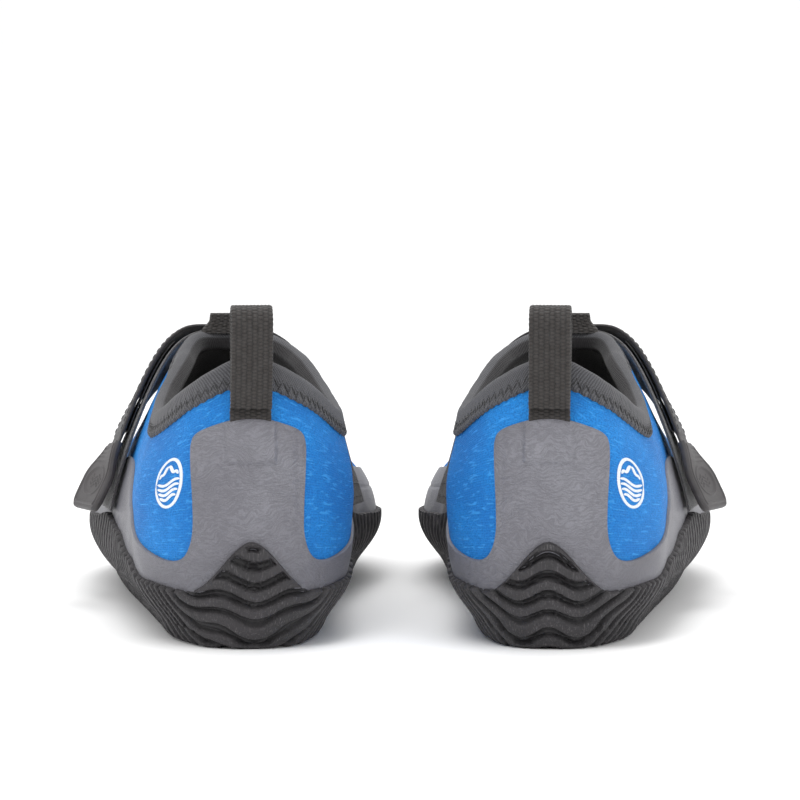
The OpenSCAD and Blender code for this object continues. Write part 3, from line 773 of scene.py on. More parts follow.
def build_outsole(side):
    n = TURN * STEPS_PER_STATION
    a = np.arange(n) / STEPS_PER_STATION
    rim = rand_v(a)
    wall_rows = 62
    share = np.linspace(0, 1, wall_rows)
    v = rim[:, None] * (1 - share[None, :])
    rear = smooth((station(a) - 9.2) / 1.4)[:, None]
    wall = skin(a[:, None], v, RAND_T + 3.6 * rear * smooth(1 - v) ** 1.2)
    wall_n = normal(a[:, None], v)
    # The turn under the foot: a smooth curve from the wall to the tread
    guides = [wall[:, -9], wall[:, -1]]
    for inset, z, out in ((-0.6, 2.6, 3.8), (2.4, 0.0, 4.6), (10.0, 0.0, 3.0), (17.0, 0.0, 0.0)):
        ring = level_ring(a, inset - out * rear[:, 0], z)
        if inset < 10:
            ring[:, 2] += toe_lift(ring[:, 1])
        guides.append(ring)
    guides = np.stack(guides, 1)
    turn = []
    for i in (1, 2, 3):
        for t in np.arange(1, 9) / 8:
            turn.append(np.einsum("r,nrk->nk", weights(np.array(t)), guides[:, i - 1:i + 3]))
    turn = np.stack(turn, 1)
    turn[..., 2] = np.maximum(turn[..., 2], 0.0)
    outer = np.concatenate([wall, turn], 1)
    along = np.roll(outer, -1, 0) - np.roll(outer, 1, 0)
    down = np.gradient(outer, axis=1)
    facing = unit(np.cross(along, down))
    facing[:, :wall_rows] = wall_n
    rib = rib_height(outer, facing, side)
    from_rim = np.linalg.norm(outer - outer[:, :1], axis=-1)
    smooth_rim = 1.4 * smooth((station(a) - 10.1) / 0.4) - 0.9
    rim_free = smooth((from_rim - smooth_rim[:, None]) / 0.8)
    depth = RIB_DEPTH * mix(1.0, 0.72, smooth((np.abs(facing[..., 0]) - 0.7) / 0.25))
    cut = (1 - rib) * depth * rim_free
    outer = outer - facing * cut[..., None]
    rib = 1 - (1 - rib) * rim_free
    # Rounded lip, then the inner wall and the floor
    edge_d = RAND_T - cut[:, 0]
    lip = [
        skin(a, rim, 0.45), skin(a, rim + 0.018, np.maximum(edge_d - 1.3, 0.55)),
        skin(a, rim + 0.012, np.maximum(edge_d - 0.5, 0.6)),
    ]
    lip = np.stack(lip, 1)
    inner = np.stack([skin(a, mix(WALL_FOOT, rim, f), 0.42) for f in np.linspace(0, 0.95, 9)], 1)
    floor = np.stack([level_ring(a, 9.0, SOLE_T), level_ring(a, 1.0, SOLE_T)], 1)
    grid = np.concatenate([floor, inner, lip, outer], 1)
    m = grid.shape[1]
    ribs = np.concatenate([np.ones((n, m - rib.shape[1])), rib], 1)
    faces = strip_faces(np.arange(n * m).reshape(n, m), wrap_i=True)
    points, values = [grid.reshape(-1, 3)], [ribs.reshape(-1)]

    def tread(middle, share, medial, lateral):
        """Cut the ribs into the underside."""
        height = rib_height(middle, np.broadcast_to([0.0, 0.0, -1.0], middle.shape), side)
        away = np.minimum(share, 1 - share) * np.linalg.norm(medial - lateral, axis=-1)
        edge_cut = mix(medial[..., 2], lateral[..., 2], share)
        middle[..., 2] = mix(edge_cut, (1 - height) * RIB_DEPTH, smooth(away / 1.2))
        return height

    # Across the underside, and across the floor inside
    for row, lines, change in ((m - 1, 96, tread), (0, 12, None)):
        middle, closing, height = rungs(grid, row, lines, sum(map(len, points)), change)
        points.append(middle.reshape(-1, 3))
        values.append(height.reshape(-1))
        faces += closing
    points = np.concatenate(points)
    rib_values = {"rib": np.concatenate(values)}
    piece = make_mesh(f"{side}_sole_rubber", points, faces, side, points, rib_values, 40)
    finish_piece(piece, side, "shoe", "rubber_sole", "outsole")


def build_loft(name, side, rings, slot, node, across=24, wave=None):
    """Level rings joined into a closed pad. wave shapes its top."""
    n = TURN * 12
    grid = np.stack([level_ring(np.arange(n) / 12, inset, z) for inset, z in rings], 1)
    m = grid.shape[1]
    faces = strip_faces(np.arange(n * m).reshape(n, m), wrap_i=True)
    points = [grid.reshape(-1, 3)]
    for row, change in ((0, None), (m - 1, wave)):
        middle, closing, _ = rungs(grid, row, across, sum(map(len, points)), change)
        points.append(middle.reshape(-1, 3))
        faces += closing
    points = np.concatenate(points)
    cloth = points[:, [1, 0, 2]]
    piece = make_mesh(name, points, faces, side, cloth, sharp=55)
    return finish_piece(piece, side, "shoe", slot, node)


def build_inside(side):
    """Foam, board and footbed, each as rings of inset and height."""
    low, high = SOLE_T + GAP, FEATHER_Z - 1.4
    rings = [(3, low), (2, low + 0.5), (1.6, high - 0.5), (2.2, high)]
    build_loft(f"{side}_midsole_foam", side, rings, "foam", "midsole")
    low, high = FEATHER_Z - 1.1, FEATHER_Z + 0.8
    rings = [(3.8, low), (3.4, low + 0.4), (3.6, high - 0.5), (4.2, high)]
    build_loft(f"{side}_strobel_board", side, rings, "board", "insole_board")
    low = FEATHER_Z + 1.1

    def dish(p, share, *ends):
        away = np.minimum(share, 1 - share) * 2
        hollow = -1.1 * smooth(away * 1.6)
        arch = 0.5 * smooth((p[..., 0] - 8) / 14) * np.exp(-((p[..., 1] - 120) / 40) ** 2)
        p[..., 2] += hollow * smooth((p[..., 1] - 12) / 22) + arch

    rings = [(7.4, 0), (6.7, 0.3), (6.1, 1.5), (4.9, 3.2), (5.1, 3.55), (5.8, 3.6)]
    rings = [(inset, low + up) for inset, up in rings]
    bed = build_loft(f"{side}_insole_footbed", side, rings, "footbed", "footbed", 40, dish)


def build_lining(side):
    a = np.arange(TURN * 16) / 16
    share = np.linspace(0, 1, 56)
    top = top_v(station(a))
    v = mix(0.1, top[:, None] - np.where(top > 3.99, 0, 0.012)[:, None], share[None, :])
    outer_d = -NEOPRENE_T - GAP
    at = form(a[:, None], v)
    cling = smooth(share * 8) * smooth((1 - share) * 8)
    crease = (lumps(at, 13.0, 5) * 0.35 + lumps(at, 5.0, 6) * 0.12 - 0.3) * cling[None, :]
    ridge = np.where(v > 3.9, 0.0, 1.0)
    outer = skin(a[:, None], v, np.full_like(v, outer_d))
    inner = skin(a[:, None], v, outer_d - LINING_T + crease * ridge)
    cloth = on_cloth(a[:, None] * 30, v * 30)
    piece = shell(f"{side}_sock_lining", outer, inner, side, cloth, closed=True, zip_columns=top > 3.99)
    finish_piece(piece, side, "shoe", "lining", "lining")


# --- Upper ------------------------------------------------------------------------------------
def overlay_top(a):
    """The v of the grey overlay's upper edge."""
    return eased(OVERLAY_LINE, station(a))


def panel_swell(a, v, side, seed):
    """Small swelling of the neoprene between its seams, with faint creases, in mm."""
    at = form(a, v)
    low, high = overlay_top(a), top_v(station(a)) - 0.22
    share = np.clip((v - low) / np.maximum(high - low, 0.1), 0, 1)
    swell = 0.45 * np.sin(np.pi * share) ** 0.8 * (v > low)
    shift = seed + (40 if side == "right" else 0)
    stretched = at * np.array([1.0, 1.0, 1.7])
    creases = lumps(stretched, 17.0, shift) * 0.22 + lumps(stretched, 6.0, shift + 1) * 0.1
    return swell + creases * smooth(share * 6)


PANEL_ROWS = 84
SEAM_SINK = 0.35


def seam_share(columns):
    """0 at both seams of a panel and 1 from its third column on."""
    i = np.arange(columns)
    return smooth(np.minimum(i, i[::-1]) / 3)[:, None]


def build_quarter(side, sign, name, node):
    """Panel of one side, from the vamp's seam to the heel's."""
    a = np.linspace(5.008, HEEL - 0.008, 150)
    if sign < 0:
        a = TURN - a
    high = np.minimum(3.985, top_v(station(a)))
    low_high = np.minimum(3.9, top_v(station(a)))
    t = np.linspace(0, 1, PANEL_ROWS)
    v = mix(WALL_FOOT, high[:, None], t[None, :])
    v_in = mix(WALL_FOOT, low_high[:, None], t[None, :])
    seam = seam_share(len(a))
    swell = panel_swell(a[:, None], v, side, 11 + (sign > 0)) * seam - SEAM_SINK * (1 - seam)
    inside_rim = smooth((high[:, None] - v) / 0.12)
    outer = skin(a[:, None], v, swell * inside_rim)
    inner = skin(a[:, None], v_in, np.full_like(v_in, -NEOPRENE_T))
    piece = shell(name, outer, inner, side, on_cloth(a[:, None] * 30, v * 32))
    finish_piece(piece, side, "shoe", "neoprene", node)


def build_vamp(side):
    """Panel over the toes. Its two halves meet along the ridge."""
    n = 241
    a = np.linspace(-4.992, 4.992, n)
    v = mix(WALL_FOOT, 4.0, np.linspace(0, 1, PANEL_ROWS))[None, :] + np.zeros((n, 1))
    seam = seam_share(n)
    at = form(a[:, None], v)
    fade = smooth((4.0 - v) / 0.25) * smooth((v - overlay_top(a)[:, None]) / 0.3)
    swell = (lumps(at, 24.0, 31) * 0.3 + lumps(at, 9.0, 32) * 0.1) * fade
    outer = skin(a[:, None], v, swell * seam - SEAM_SINK * (1 - seam))
    inner = skin(a[:, None], v, np.full_like(v, -NEOPRENE_T))
    cloth = on_cloth(a[:, None] * 30, v * 32)
    piece = shell(f"{side}_vamp_panel", outer, inner, side, cloth, zip_columns=np.ones(n, bool))
    finish_piece(piece, side, "shoe", "neoprene", "vamp")


# Edge of the overlay from the side to the middle of the heel: station, v, and the station below it
OVERLAY_EDGE = [
    (7, 1.84, 7), (8, 1.66, 8), (9, 1.38, 9), (9.35, 1.29, 9.35), (9.62, 1.24, 9.6), (9.84, 1.235, 9.76),
    (10.02, 1.29, 9.9), (10.14, 1.42, 10.03), (10.19, 1.6, 10.15), (10.18, 1.85, 10.26),
    (10.14, 2.1, 10.36), (10.1, 2.3, 10.44), (10.095, 2.385, 10.51), (10.13, 2.44, 10.58),
    (10.24, 2.465, 10.66), (10.45, 2.47, 10.76), (10.7, 2.47, 10.87), (11, 2.47, 11),
]


def overlay_rows(count):
    """Shares up the overlay, close together at both edges, and how much of the full thickness each has."""
    edge = np.array([0.0, 0.004, 0.01, 0.02, 0.035])
    t = np.concatenate([edge, np.linspace(0.05, 0.95, count), 1 - edge[::-1]])
    rise = np.concatenate([[0, 0.5, 0.8, 0.95, 1], np.ones(count), [1, 0.95, 0.8, 0.5, 0]])
    return t, rise


def end_ramp(columns):
    """Share of the full thickness along an overlay, thin at both ends."""
    ends = [0.25, 0.7, 0.95]
    return np.concatenate([ends, np.ones(columns - 2 * len(ends)), ends[::-1]])[:, None]


def build_heel_overlay(side):
    columns = []
    for sign, join in ((1, MEDIAL_JOIN), (-1, LATERAL_JOIN)):
        # The patch sits a little towards the lateral side
        shift = 0.045 * sign
        start = join + 0.02
        points = [(start, float(eased(OVERLAY_LINE, np.array(start))), start)]
        points += [(6.4, 1.885, 6.4)]
        for k, v, base in OVERLAY_EDGE:
            points.append((k + shift * float(smooth(k - 9.0) * (k < 10.5)), v, base))
        line = curve_through(points, 14)
        if sign < 0:
            line = line[::-1][1:].copy()
            line[:, [0, 2]] = TURN - line[:, [0, 2]]
        columns.append(line)
    edge = np.concatenate(columns)
    t, rise = overlay_rows(76)
    low_a, low_v = edge[:, 2], rand_v(edge[:, 2]) - 0.1
    a = mix(low_a[:, None], edge[:, :1], t[None, :])
    v = mix(low_v[:, None], edge[:, 1:2], t[None, :])
    at = form(a, v)
    # The webbing's tail lies under the patch and shows as a raised rectangle
    x, y, z = np.abs(at[..., 0]), at[..., 1], at[..., 2]
    tail = smooth((8.4 - x) / 1.6) * smooth((z - 59.0) / 1.6) * (y < 30)
    frame_line = np.exp(-((x - 14.6) / 0.8) ** 2) * (y < 20) * smooth((z - 36) / 6)
    relief = 1.0 * tail - 0.16 * frame_line * smooth((70 - z) / 3) + lumps(at, 5.0, 51) * 0.09
    full = OVERLAY_T + relief
    outer = skin(a, v, GAP * 0.4 + full * rise[None, :] * end_ramp(len(edge)))
    inner = skin(a, v, np.full_like(v, 0.05))
    piece = shell(f"{side}_heel_patch", outer, inner, side, on_cloth(a * 30, v * 30), sharp=60)
    finish_piece(piece, side, "shoe", "overlay", "heel_overlay")


def build_toe_overlay(side):
    a = np.linspace(-LATERAL_JOIN + 0.02, MEDIAL_JOIN - 0.02, 330)
    t, rise = overlay_rows(40)
    low, high = rand_v(a)[:, None], overlay_top(a)[:, None]
    v = mix(low - 0.1, high, t[None, :])
    at = form(a[:, None], v)
    groove = np.exp(-(((v - low) / np.maximum(high - low, 0.1) - 0.55) / 0.03) ** 2)
    full = OVERLAY_T + lumps(at, 5.0, 61) * 0.09 - 0.35 * groove
    outer = skin(a[:, None], v, GAP * 0.4 + full * rise[None, :] * end_ramp(len(a)))
    inner = skin(a[:, None], v, np.full_like(v, 0.05))
    cloth = on_cloth(a[:, None] * 30, v * 30)
    piece = shell(f"{side}_toe_rand", outer, inner, side, cloth, sharp=60)
    finish_piece(piece, side, "shoe", "overlay", "toe_overlay")


BINDING_INNER = -NEOPRENE_T - LINING_T - 2 * GAP
STITCH_PITCH = 3.1


def collar_table():
    """Length along the collar at even steps of t."""
    t = np.linspace(0, 2, 721)
    return t, arc_length(collar_point(t, 0.0, 0.0))


COLLAR_T, COLLAR_S = collar_table()


# Outline of the binding tape: distance below the edge and distance out, from the outer leg over the edge
BINDING_SECTION = [
    (BINDING_W, 0.12), (BINDING_W + 0.05, 0.7), (BINDING_W - 0.5, 1.15), (5.4, 1.3), (3.6, 1.3),
    (1.6, 1.4), (0.2, 1.1), (-0.9, 0.2), (-1.3, -1.0), (-1.1, -2.4), (-0.5, -3.7),
    (0.4, BINDING_INNER - 0.4), (1.2, BINDING_INNER - 0.6), (2.4, BINDING_INNER - 0.6),
    (2.9, BINDING_INNER - 0.2), (1.8, BINDING_INNER + 0.1), (0.4, BINDING_INNER + 0.1),
    (-0.1, -3.2), (-0.25, -0.7), (0.5, 0.12), (4.0, 0.12),
]


def build_binding(side):
    """Stretch tape folded over the collar, puckered by its stitching."""
    n = 660
    t = np.arange(n) * 2 / n
    s = np.interp(t, COLLAR_T, COLLAR_S)
    section = BINDING_SECTION
    around = np.asarray(section + section[:3], float)
    fine = []
    for i in range(len(section)):
        quad = around[[(i - 1) % len(section), i, (i + 1) % len(section), (i + 2) % len(section)]]
        for u in (0.0, 0.33, 0.67):
            fine.append(weights(np.array(u)) @ quad)
    fine = np.array(fine)
    m = len(fine)
    w = np.broadcast_to(fine[None, :, 0], (n, m)).copy()
    d = np.broadcast_to(fine[None, :, 1], (n, m)).copy()
    shift = 0 if side == "left" else 1.3
    pucker = np.cos(2 * np.pi * (s[:, None] + shift) / STITCH_PITCH)
    at = collar_point(t[:, None], np.maximum(w, 0), np.zeros_like(w))
    outside = smooth((d + 0.4) / 0.8)
    d += outside * (0.16 * pucker * np.exp(-((w - 6.2) / 2.4) ** 2) + lumps(at, 4.0, 71) * 0.14)
    d -= outside * 0.3 * np.exp(-((w - 5.7) / 1.1) ** 2)
    w += outside * smooth((w - 6.6) / 1.0) * (0.22 * pucker + lumps(at, 9.0, 72) * 0.35)
    points = collar_point(t[:, None], w, d)
    lower = smooth(-w / 0.6)
    points[..., 2] += lower * lumps(at, 6.0, 73) * 0.25
    cloth = np.stack([np.broadcast_to(s[:, None], (n, m)), w + d, d], -1)
    piece = tube(f"{side}_collar_tape", points, side, cloth, closed=True, sharp=70)
    finish_piece(piece, side, "shoe", "binding", "collar_binding")


def capsule_chain(paths, radius, ring=6):
    """Closed tubes with rounded ends along many short paths of points [path, station, xyz]."""
    n, m = paths.shape[:2]
    ahead = unit(np.gradient(paths, axis=1))
    up = np.zeros_like(ahead)
    up[..., 2] = 1.0
    side_way = unit(np.cross(ahead, up))
    normal_way = np.cross(side_way, ahead)
    swell = np.sqrt(np.clip(1 - np.linspace(-1, 1, m) ** 6, 0.05, 1))
    angle = np.arange(ring) * 2 * np.pi / ring
    c, s = np.cos(angle)[:, None], np.sin(angle)[:, None]
    around = side_way[:, :, None] * c + normal_way[:, :, None] * s
    rings = paths[:, :, None] + radius * swell[None, :, None, None] * around
    ids = np.arange(n * m * ring).reshape(n, m, ring)
    faces = []
    for i in range(n):
        faces += strip_faces(ids[i], wrap_j=True)
        faces += [tuple(ids[i, 0].tolist()), tuple(ids[i, -1][::-1].tolist())]
    return rings.reshape(-1, 3), faces


def stitch_piece(name, side, paths, radius, body, node=None):
    points, faces = capsule_chain(np.asarray(paths, float), radius)
    piece = make_mesh(name, points, faces, side, points, sharp=70)
    return finish_piece(piece, side, body, "thread", node)


def build_binding_stitch(side):
    """Zigzag thread round the binding, and the dark needle holes at its turns."""
    total = COLLAR_S[-1]
    count = int(round(total / STITCH_PITCH))
    paths = []
    for i in range(count):
        for first, last, w0, w1 in ((0.0, 0.5, 4.3, 7.1), (0.5, 1.0, 7.1, 4.3)):
            f = np.linspace(0, 1, 7)
            s = (i + mix(first, last, f)) * total / count
            t = np.interp(s, COLLAR_S, COLLAR_T)
            sink = 1.16 - 0.55 * np.abs(2 * f - 1) ** 4
            paths.append(collar_point(t, mix(w0, w1, f), sink))
    stitch_piece(f"{side}_zigzag_stitch", side, paths, 0.24, "shoe", "binding_stitch")
    holes = []
    for i in range(count):
        for part, w0 in ((0.0, 4.2), (0.5, 7.2)):
            t = np.interp((i + part) * total / count, COLLAR_S, COLLAR_T)
            f = np.linspace(0, 1, 4)
            holes.append(collar_point(t, w0 + (f - 0.5) * 0.75, 1.06))
    stitch_piece(f"{side}_needle_holes", side, holes, 0.36, "shoe")


# Middle of the side mark, and the size of a station and of a step of v there
MARK_STATION, MARK_V = 9.68, 2.03
MARK_STATION_MM, MARK_V_MM = 19.0, 35.0


def build_print(side):
    """Generic mark in transfer film, waves under a peak in an oval, on the outer side near the heel."""
    strips = []
    t = np.linspace(0, 1, 70)
    thin = 0.5 * np.sqrt(np.clip(1 - (2 * t - 1) ** 6, 0.02, 1))

    def line(across, up):
        """One line of the mark, in mm from the middle of the window."""
        k = MARK_STATION - np.asarray(across) / MARK_STATION_MM
        v = MARK_V + np.asarray(up) / MARK_V_MM
        strips.append((TURN - k, v, thin / MARK_V_MM))

    turn = 2 * np.pi * t * 0.999
    line(4.6 * np.cos(turn), 8.6 * np.sin(turn))
    for level, reach in ((-5.4, 2.9), (-3.6, 3.5), (-1.8, 3.9), (0.0, 4.0)):
        line(mix(-reach, reach, t), level + 0.75 * np.sin(t * 2 * np.pi + 0.6))
    line(mix(-3.4, 0.4, t), 2.4 + 3.6 * t + 0.5 * np.sin(t * 3 * np.pi))
    line(mix(0.4, 3.4, t), 6.0 - 3.6 * t + 0.4 * np.sin(t * 3 * np.pi))
    points, faces, count = [], [], 0
    for a, centre, half in strips:
        dk, dv = np.gradient(a) * MARK_STATION_MM, np.gradient(centre) * MARK_V_MM
        long = np.maximum(np.hypot(dk, dv), 1e-6)
        off = half[:, None] * np.linspace(-1, 1, 5)[None, :] * MARK_V_MM
        v = centre[:, None] + off * (dk / long)[:, None] / MARK_V_MM
        a = a[:, None] - off * (dv / long)[:, None] / MARK_STATION_MM
        base = panel_swell(a, v, side, 11)
        outer = skin(a, v, base + 0.14)
        inner = skin(a, v, base - 0.1)
        n, m = v.shape
        ids = np.arange(n * m).reshape(n, m) + count
        under = ids + n * m
        count += 2 * n * m
        points += [outer.reshape(-1, 3), inner.reshape(-1, 3)]
        faces += strip_faces(ids) + strip_faces(under, flip=True)
        faces += strip_faces(np.stack([under[:, 0], ids[:, 0]], 1))
        faces += strip_faces(np.stack([ids[:, -1], under[:, -1]], 1))
        faces += strip_faces(np.stack([ids[0], under[0]], 0))
        faces += strip_faces(np.stack([under[-1], ids[-1]], 0))
    points = np.concatenate(points)
    piece = make_mesh(f"{side}_wave_mark", points, faces, side, points)
    finish_piece(piece, side, "shoe", "print", "side_print")


# --- Webbing parts ----------------------------------------------------------------------------
LOOP_PIVOT = np.array([0, 0.9, 73.4])
LOOP_LEAN = math.radians(3.0)
LOOP_LENGTH = 31.0
LOOP_R = 4.2
TAB_PIVOT = np.array([0, 119.6, INSTEP_HEIGHT + 2.6])
TAB_LEAN = math.radians(12.0)
TAB_H = 5.5


def rounded_section(half_w, half_t, across):
    """Outline of a flat tape with rounded edges: across its width, and through its thickness."""
    x = np.linspace(-half_w + half_t, half_w - half_t, across)
    ends = np.radians(np.linspace(90, -90, 7))
    right = [(half_w - half_t + half_t * math.cos(w), half_t * math.sin(w)) for w in ends[1:-1]]
    left = [(-half_w + half_t - half_t * math.cos(w), -half_t * math.sin(w)) for w in ends[1:-1]]
    top = [(p, half_t) for p in x]
    under = [(p, -half_t) for p in x[::-1]]
    return np.array(top + right + under + left)


def weave_relief(along, across, rows=1.7):
    """Height of a plain weave, 0 to 1."""
    row = along / rows
    column = across / 1.15 + 0.5 * np.mod(np.floor(row), 2)
    return np.sqrt(np.abs(np.sin(np.pi * row)) * np.abs(np.sin(np.pi * column)))


def web_band(name, side, centre, half_t, body, node=None, relief=0.22):
    """Tape of loop webbing along a centre line, [station, xyz], which lies level across."""
    half_w = LOOP_W / 2
    normal_way, across_way = frame_along(centre, np.broadcast_to([1.0, 0.0, 0.0], centre.shape))
    section = rounded_section(half_w, half_t, 34)
    s = arc_length(centre)
    x = np.broadcast_to(section[None, :, 0], (len(s), len(section)))
    z = np.broadcast_to(section[None, :, 1], (len(s), len(section)))
    face = smooth((np.abs(z) - 0.55 * half_t) / (0.45 * half_t))
    woven = weave_relief(np.broadcast_to(s[:, None], x.shape), x + half_w)
    lift = (woven - 1) * relief * face * np.sign(z)
    side_step = 0.12 * np.abs(np.sin(np.pi * s / 1.7))[:, None] * (1 - face) * np.sign(x)
    rings = centre[:, None] + across_way[:, None] * (x + side_step)[..., None]
    rings = rings + normal_way[:, None] * (z + lift)[..., None]
    cloth = np.stack([x, np.broadcast_to(s[:, None], x.shape), z], -1)
    piece = tube(name, rings, side, cloth, sharp=70)
    finish_piece(piece, side, body, "webbing", node)


def frame_along(centre, across):
    """Normals and directions across for a band whose rough direction across is given."""
    ahead = unit(np.gradient(centre, axis=0))
    across = unit(across - ahead * np.sum(across * ahead, -1, keepdims=True))
    return np.cross(across, ahead), across


def build_heel_loop(side):
    """One length of webbing: up the outside, round the top and down the inside."""
    radius = LOOP_R + LOOP_T / 2
    opening = math.asin(radius / LOOP_LENGTH)
    w = np.linspace(-opening, math.pi + opening, 64)
    arc = np.stack([radius * np.cos(w), LOOP_LENGTH + radius * np.sin(w)], -1)
    leg = np.linspace(0.13, 1, 44)[:-1, None] * arc[0]
    back = np.linspace(1, 0.13, 44)[1:, None] * arc[-1]
    line = np.concatenate([leg, arc, back])
    # Both legs lie face to face near the seam
    closest = 0.85
    line[:, 0] = np.sign(line[:, 0]) * np.maximum(np.abs(line[:, 0]), closest)
    slack = 0.35 * np.sin(line[:, 1] / LOOP_LENGTH * np.pi) * np.sign(line[:, 0])
    y, z = line[:, 0] + slack, line[:, 1]
    c, s = math.cos(LOOP_LEAN), math.sin(LOOP_LEAN)
    centre = LOOP_PIVOT + np.stack([np.zeros_like(y), y * c + z * s, -y * s + z * c], -1)
    sway = 0.35 if side == "left" else -0.3
    centre[:, 0] += sway * np.sin(z / LOOP_LENGTH * 1.6)
    web_band(f"{side}_pull_loop", side, centre, LOOP_T / 2, "loop", "heel_loop")


def build_loop_tail(side):
    """The webbing's root, stitched down and running under the heel patch."""
    heights = np.linspace(60.0, 77.0, 40)
    v = np.linspace(1.9, 2.9, 200)
    at = skin(np.full(200, 11.0), v, np.full(200, 0.0))
    v_of = np.interp(heights, at[:, 2], v)
    lift = 0.55 + 1.1 * smooth((heights - 71.6) / 3.0)
    centre = skin(np.full(40, 11.0), v_of, lift)
    web_band(f"{side}_loop_root", side, centre, 0.5, "shoe", relief=0.12)


def build_front_tab(side):
    """Folded webbing at the front of the collar: wider at its foot, with a rolled top."""
    half_t = 1.2
    rows = np.linspace(-2.1, TAB_H - 0.6, 44)
    bow = -0.10 * np.maximum(rows, 0) ** 1.35
    half_w = np.where(rows < TAB_H - 2, mix(10.2, 7.4, smooth((rows + 1.5) / (TAB_H - 1))), 7.3)
    x = np.linspace(-1, 1, 40)
    outer, inner = [], []
    top = smooth((TAB_H - 0.6 - rows) / 0.9)
    c, s = math.cos(TAB_LEAN), math.sin(TAB_LEAN)
    for i, row in enumerate(rows):
        bend = 0.9 * (x ** 2) * smooth((3 - row) / 5)
        for store, level in ((outer, 1), (inner, -1)):
            woven = (weave_relief(np.full(40, row), x * half_w[i] + 20) - 1) * 0.2
            thick = half_t * math.sqrt(max(top[i], 0.02)) + woven
            local_y = thick * level * np.sqrt(np.clip(1.04 - x ** 8, 0.05, 1)) + bow[i] - bend
            px = x * half_w[i] * (1 - 0.03 * (1 - top[i]))
            store.append(TAB_PIVOT + np.stack([px, local_y * c + row * s, row * c - local_y * s], -1))
    outer, inner = np.array(outer), np.array(inner)
    cloth = on_cloth(x[None] * 10, rows[:, None])
    piece = shell(f"{side}_front_pull", outer, inner, side, cloth, sharp=60)
    finish_piece(piece, side, "tongue_tab", "webbing", "front_tab")
    paths = []
    for row in (1.2, 3.0):
        for x0 in np.arange(-6.6, 5.4, 2.6):
            xs = x0 + np.linspace(0, 1.9, 6)
            y = half_t + 0.12 + 0 * xs - 0.9 * (xs / 11) ** 2 * float(smooth(np.array((3 - row) / 5)))
            paths.append(TAB_PIVOT + np.stack([xs, y * c + row * s, row * c - y * s], -1))
    stitch_piece(f"{side}_front_pull_stitch", side, paths, 0.2, "tongue_tab")


# --- Strap, ring and tab ------------------------------------------------------------------------
STATION_MM = 31.0
STRAP_K = 5.5
STRAP_END = -1.95
BASE_END = -2.64
RING_Q = 1.42
BASE_D = 2.15
BAR_R = 1.5
RING_W = STRAP_W + 8
RING_H = 7.6
RING_TOP = np.array([30.1668, 135.022, 71.0335])
RING_LOW = np.array([33.7732, 131.651, 65.2553])
RING_E = np.array([0.213575, 0.895938, -0.389461])
RING_UP = np.array([-0.474524, 0.443612, 0.760286])
RING_OUT = np.array([0.853939, 0.0224304, 0.519889])
TAB_TOP = np.array([-38.7794, 127.146, 55.4375])
TAB_E = np.array([-0.0726747, 0.987611, -0.139078])
TAB_DOWN = np.array([-0.361292, -0.156045, -0.919303])
TAB_OUT = np.array([-0.929616, -0.0165623, 0.368157])
TAB_TILT = math.radians(6.0)
TAB_TWIST = math.radians(12.0)


def strap_point(q, x, d):
    """Point over the instep: q from the ridge, positive on the medial side, and x mm along the foot."""
    q, x, d = np.broadcast_arrays(*[np.asarray(p, float) for p in (q, x, d)])
    k = STRAP_K + 0.5 * smooth(-q / 2.7) - x / STATION_MM
    return skin(np.where(q > 0, k, TURN - k), 4 - np.abs(q), d)


def return_d(q):
    """Height of the returning strap over the shoe. It rises towards the tab and towards the ring."""
    return BASE_D + STRAP_T + GAP + 0.1 + 1.3 * smooth((-q - 0.4) / 0.4) + 1.2 * smooth((q - 0.6) / 0.6)


def turn_point(centre, radius, degrees, x):
    """Points round a bar of the ring, x mm along it."""
    w = np.radians(degrees)[..., None]
    return centre + RING_E * x + (RING_OUT * np.cos(w) + RING_UP * np.sin(w)) * radius


def tape(name, side, stations, half_w, half_t, slot, body, node, across, relief=0.09, rows=1.5):
    """Tape whose lower and upper faces come from stations(x): two arrays [station, xyz]."""
    x = np.linspace(-1, 1, across) * (half_w - 0.1)
    low, high = [], []
    for value in x:
        below, above = stations(value)
        low.append(curve_through(below, 5))
        high.append(curve_through(above, 5))
    low, high = np.array(low), np.array(high)
    s = arc_length(((low + high) / 2).transpose(1, 0, 2)).T
    round_off = np.sqrt(np.clip(1 - (np.abs(x) / half_w) ** 14, 0.04, 1))[:, None, None]
    middle, half = (low + high) / 2, (high - low) / 2
    woven = (weave_relief(s, np.broadcast_to(x[:, None], s.shape) + half_w, rows) - 1) * relief
    thick = 1 + (woven / half_t)[..., None]
    ends = np.ones(s.shape[1])
    ends[0] = ends[-1] = 0.6
    thick = thick * round_off * ends[None, :, None]
    cloth = on_cloth(x[:, None], s)
    piece = shell(name, middle + half * thick, middle - half * thick, side, cloth, sharp=60)
    finish_piece(piece, side, body, slot, node)


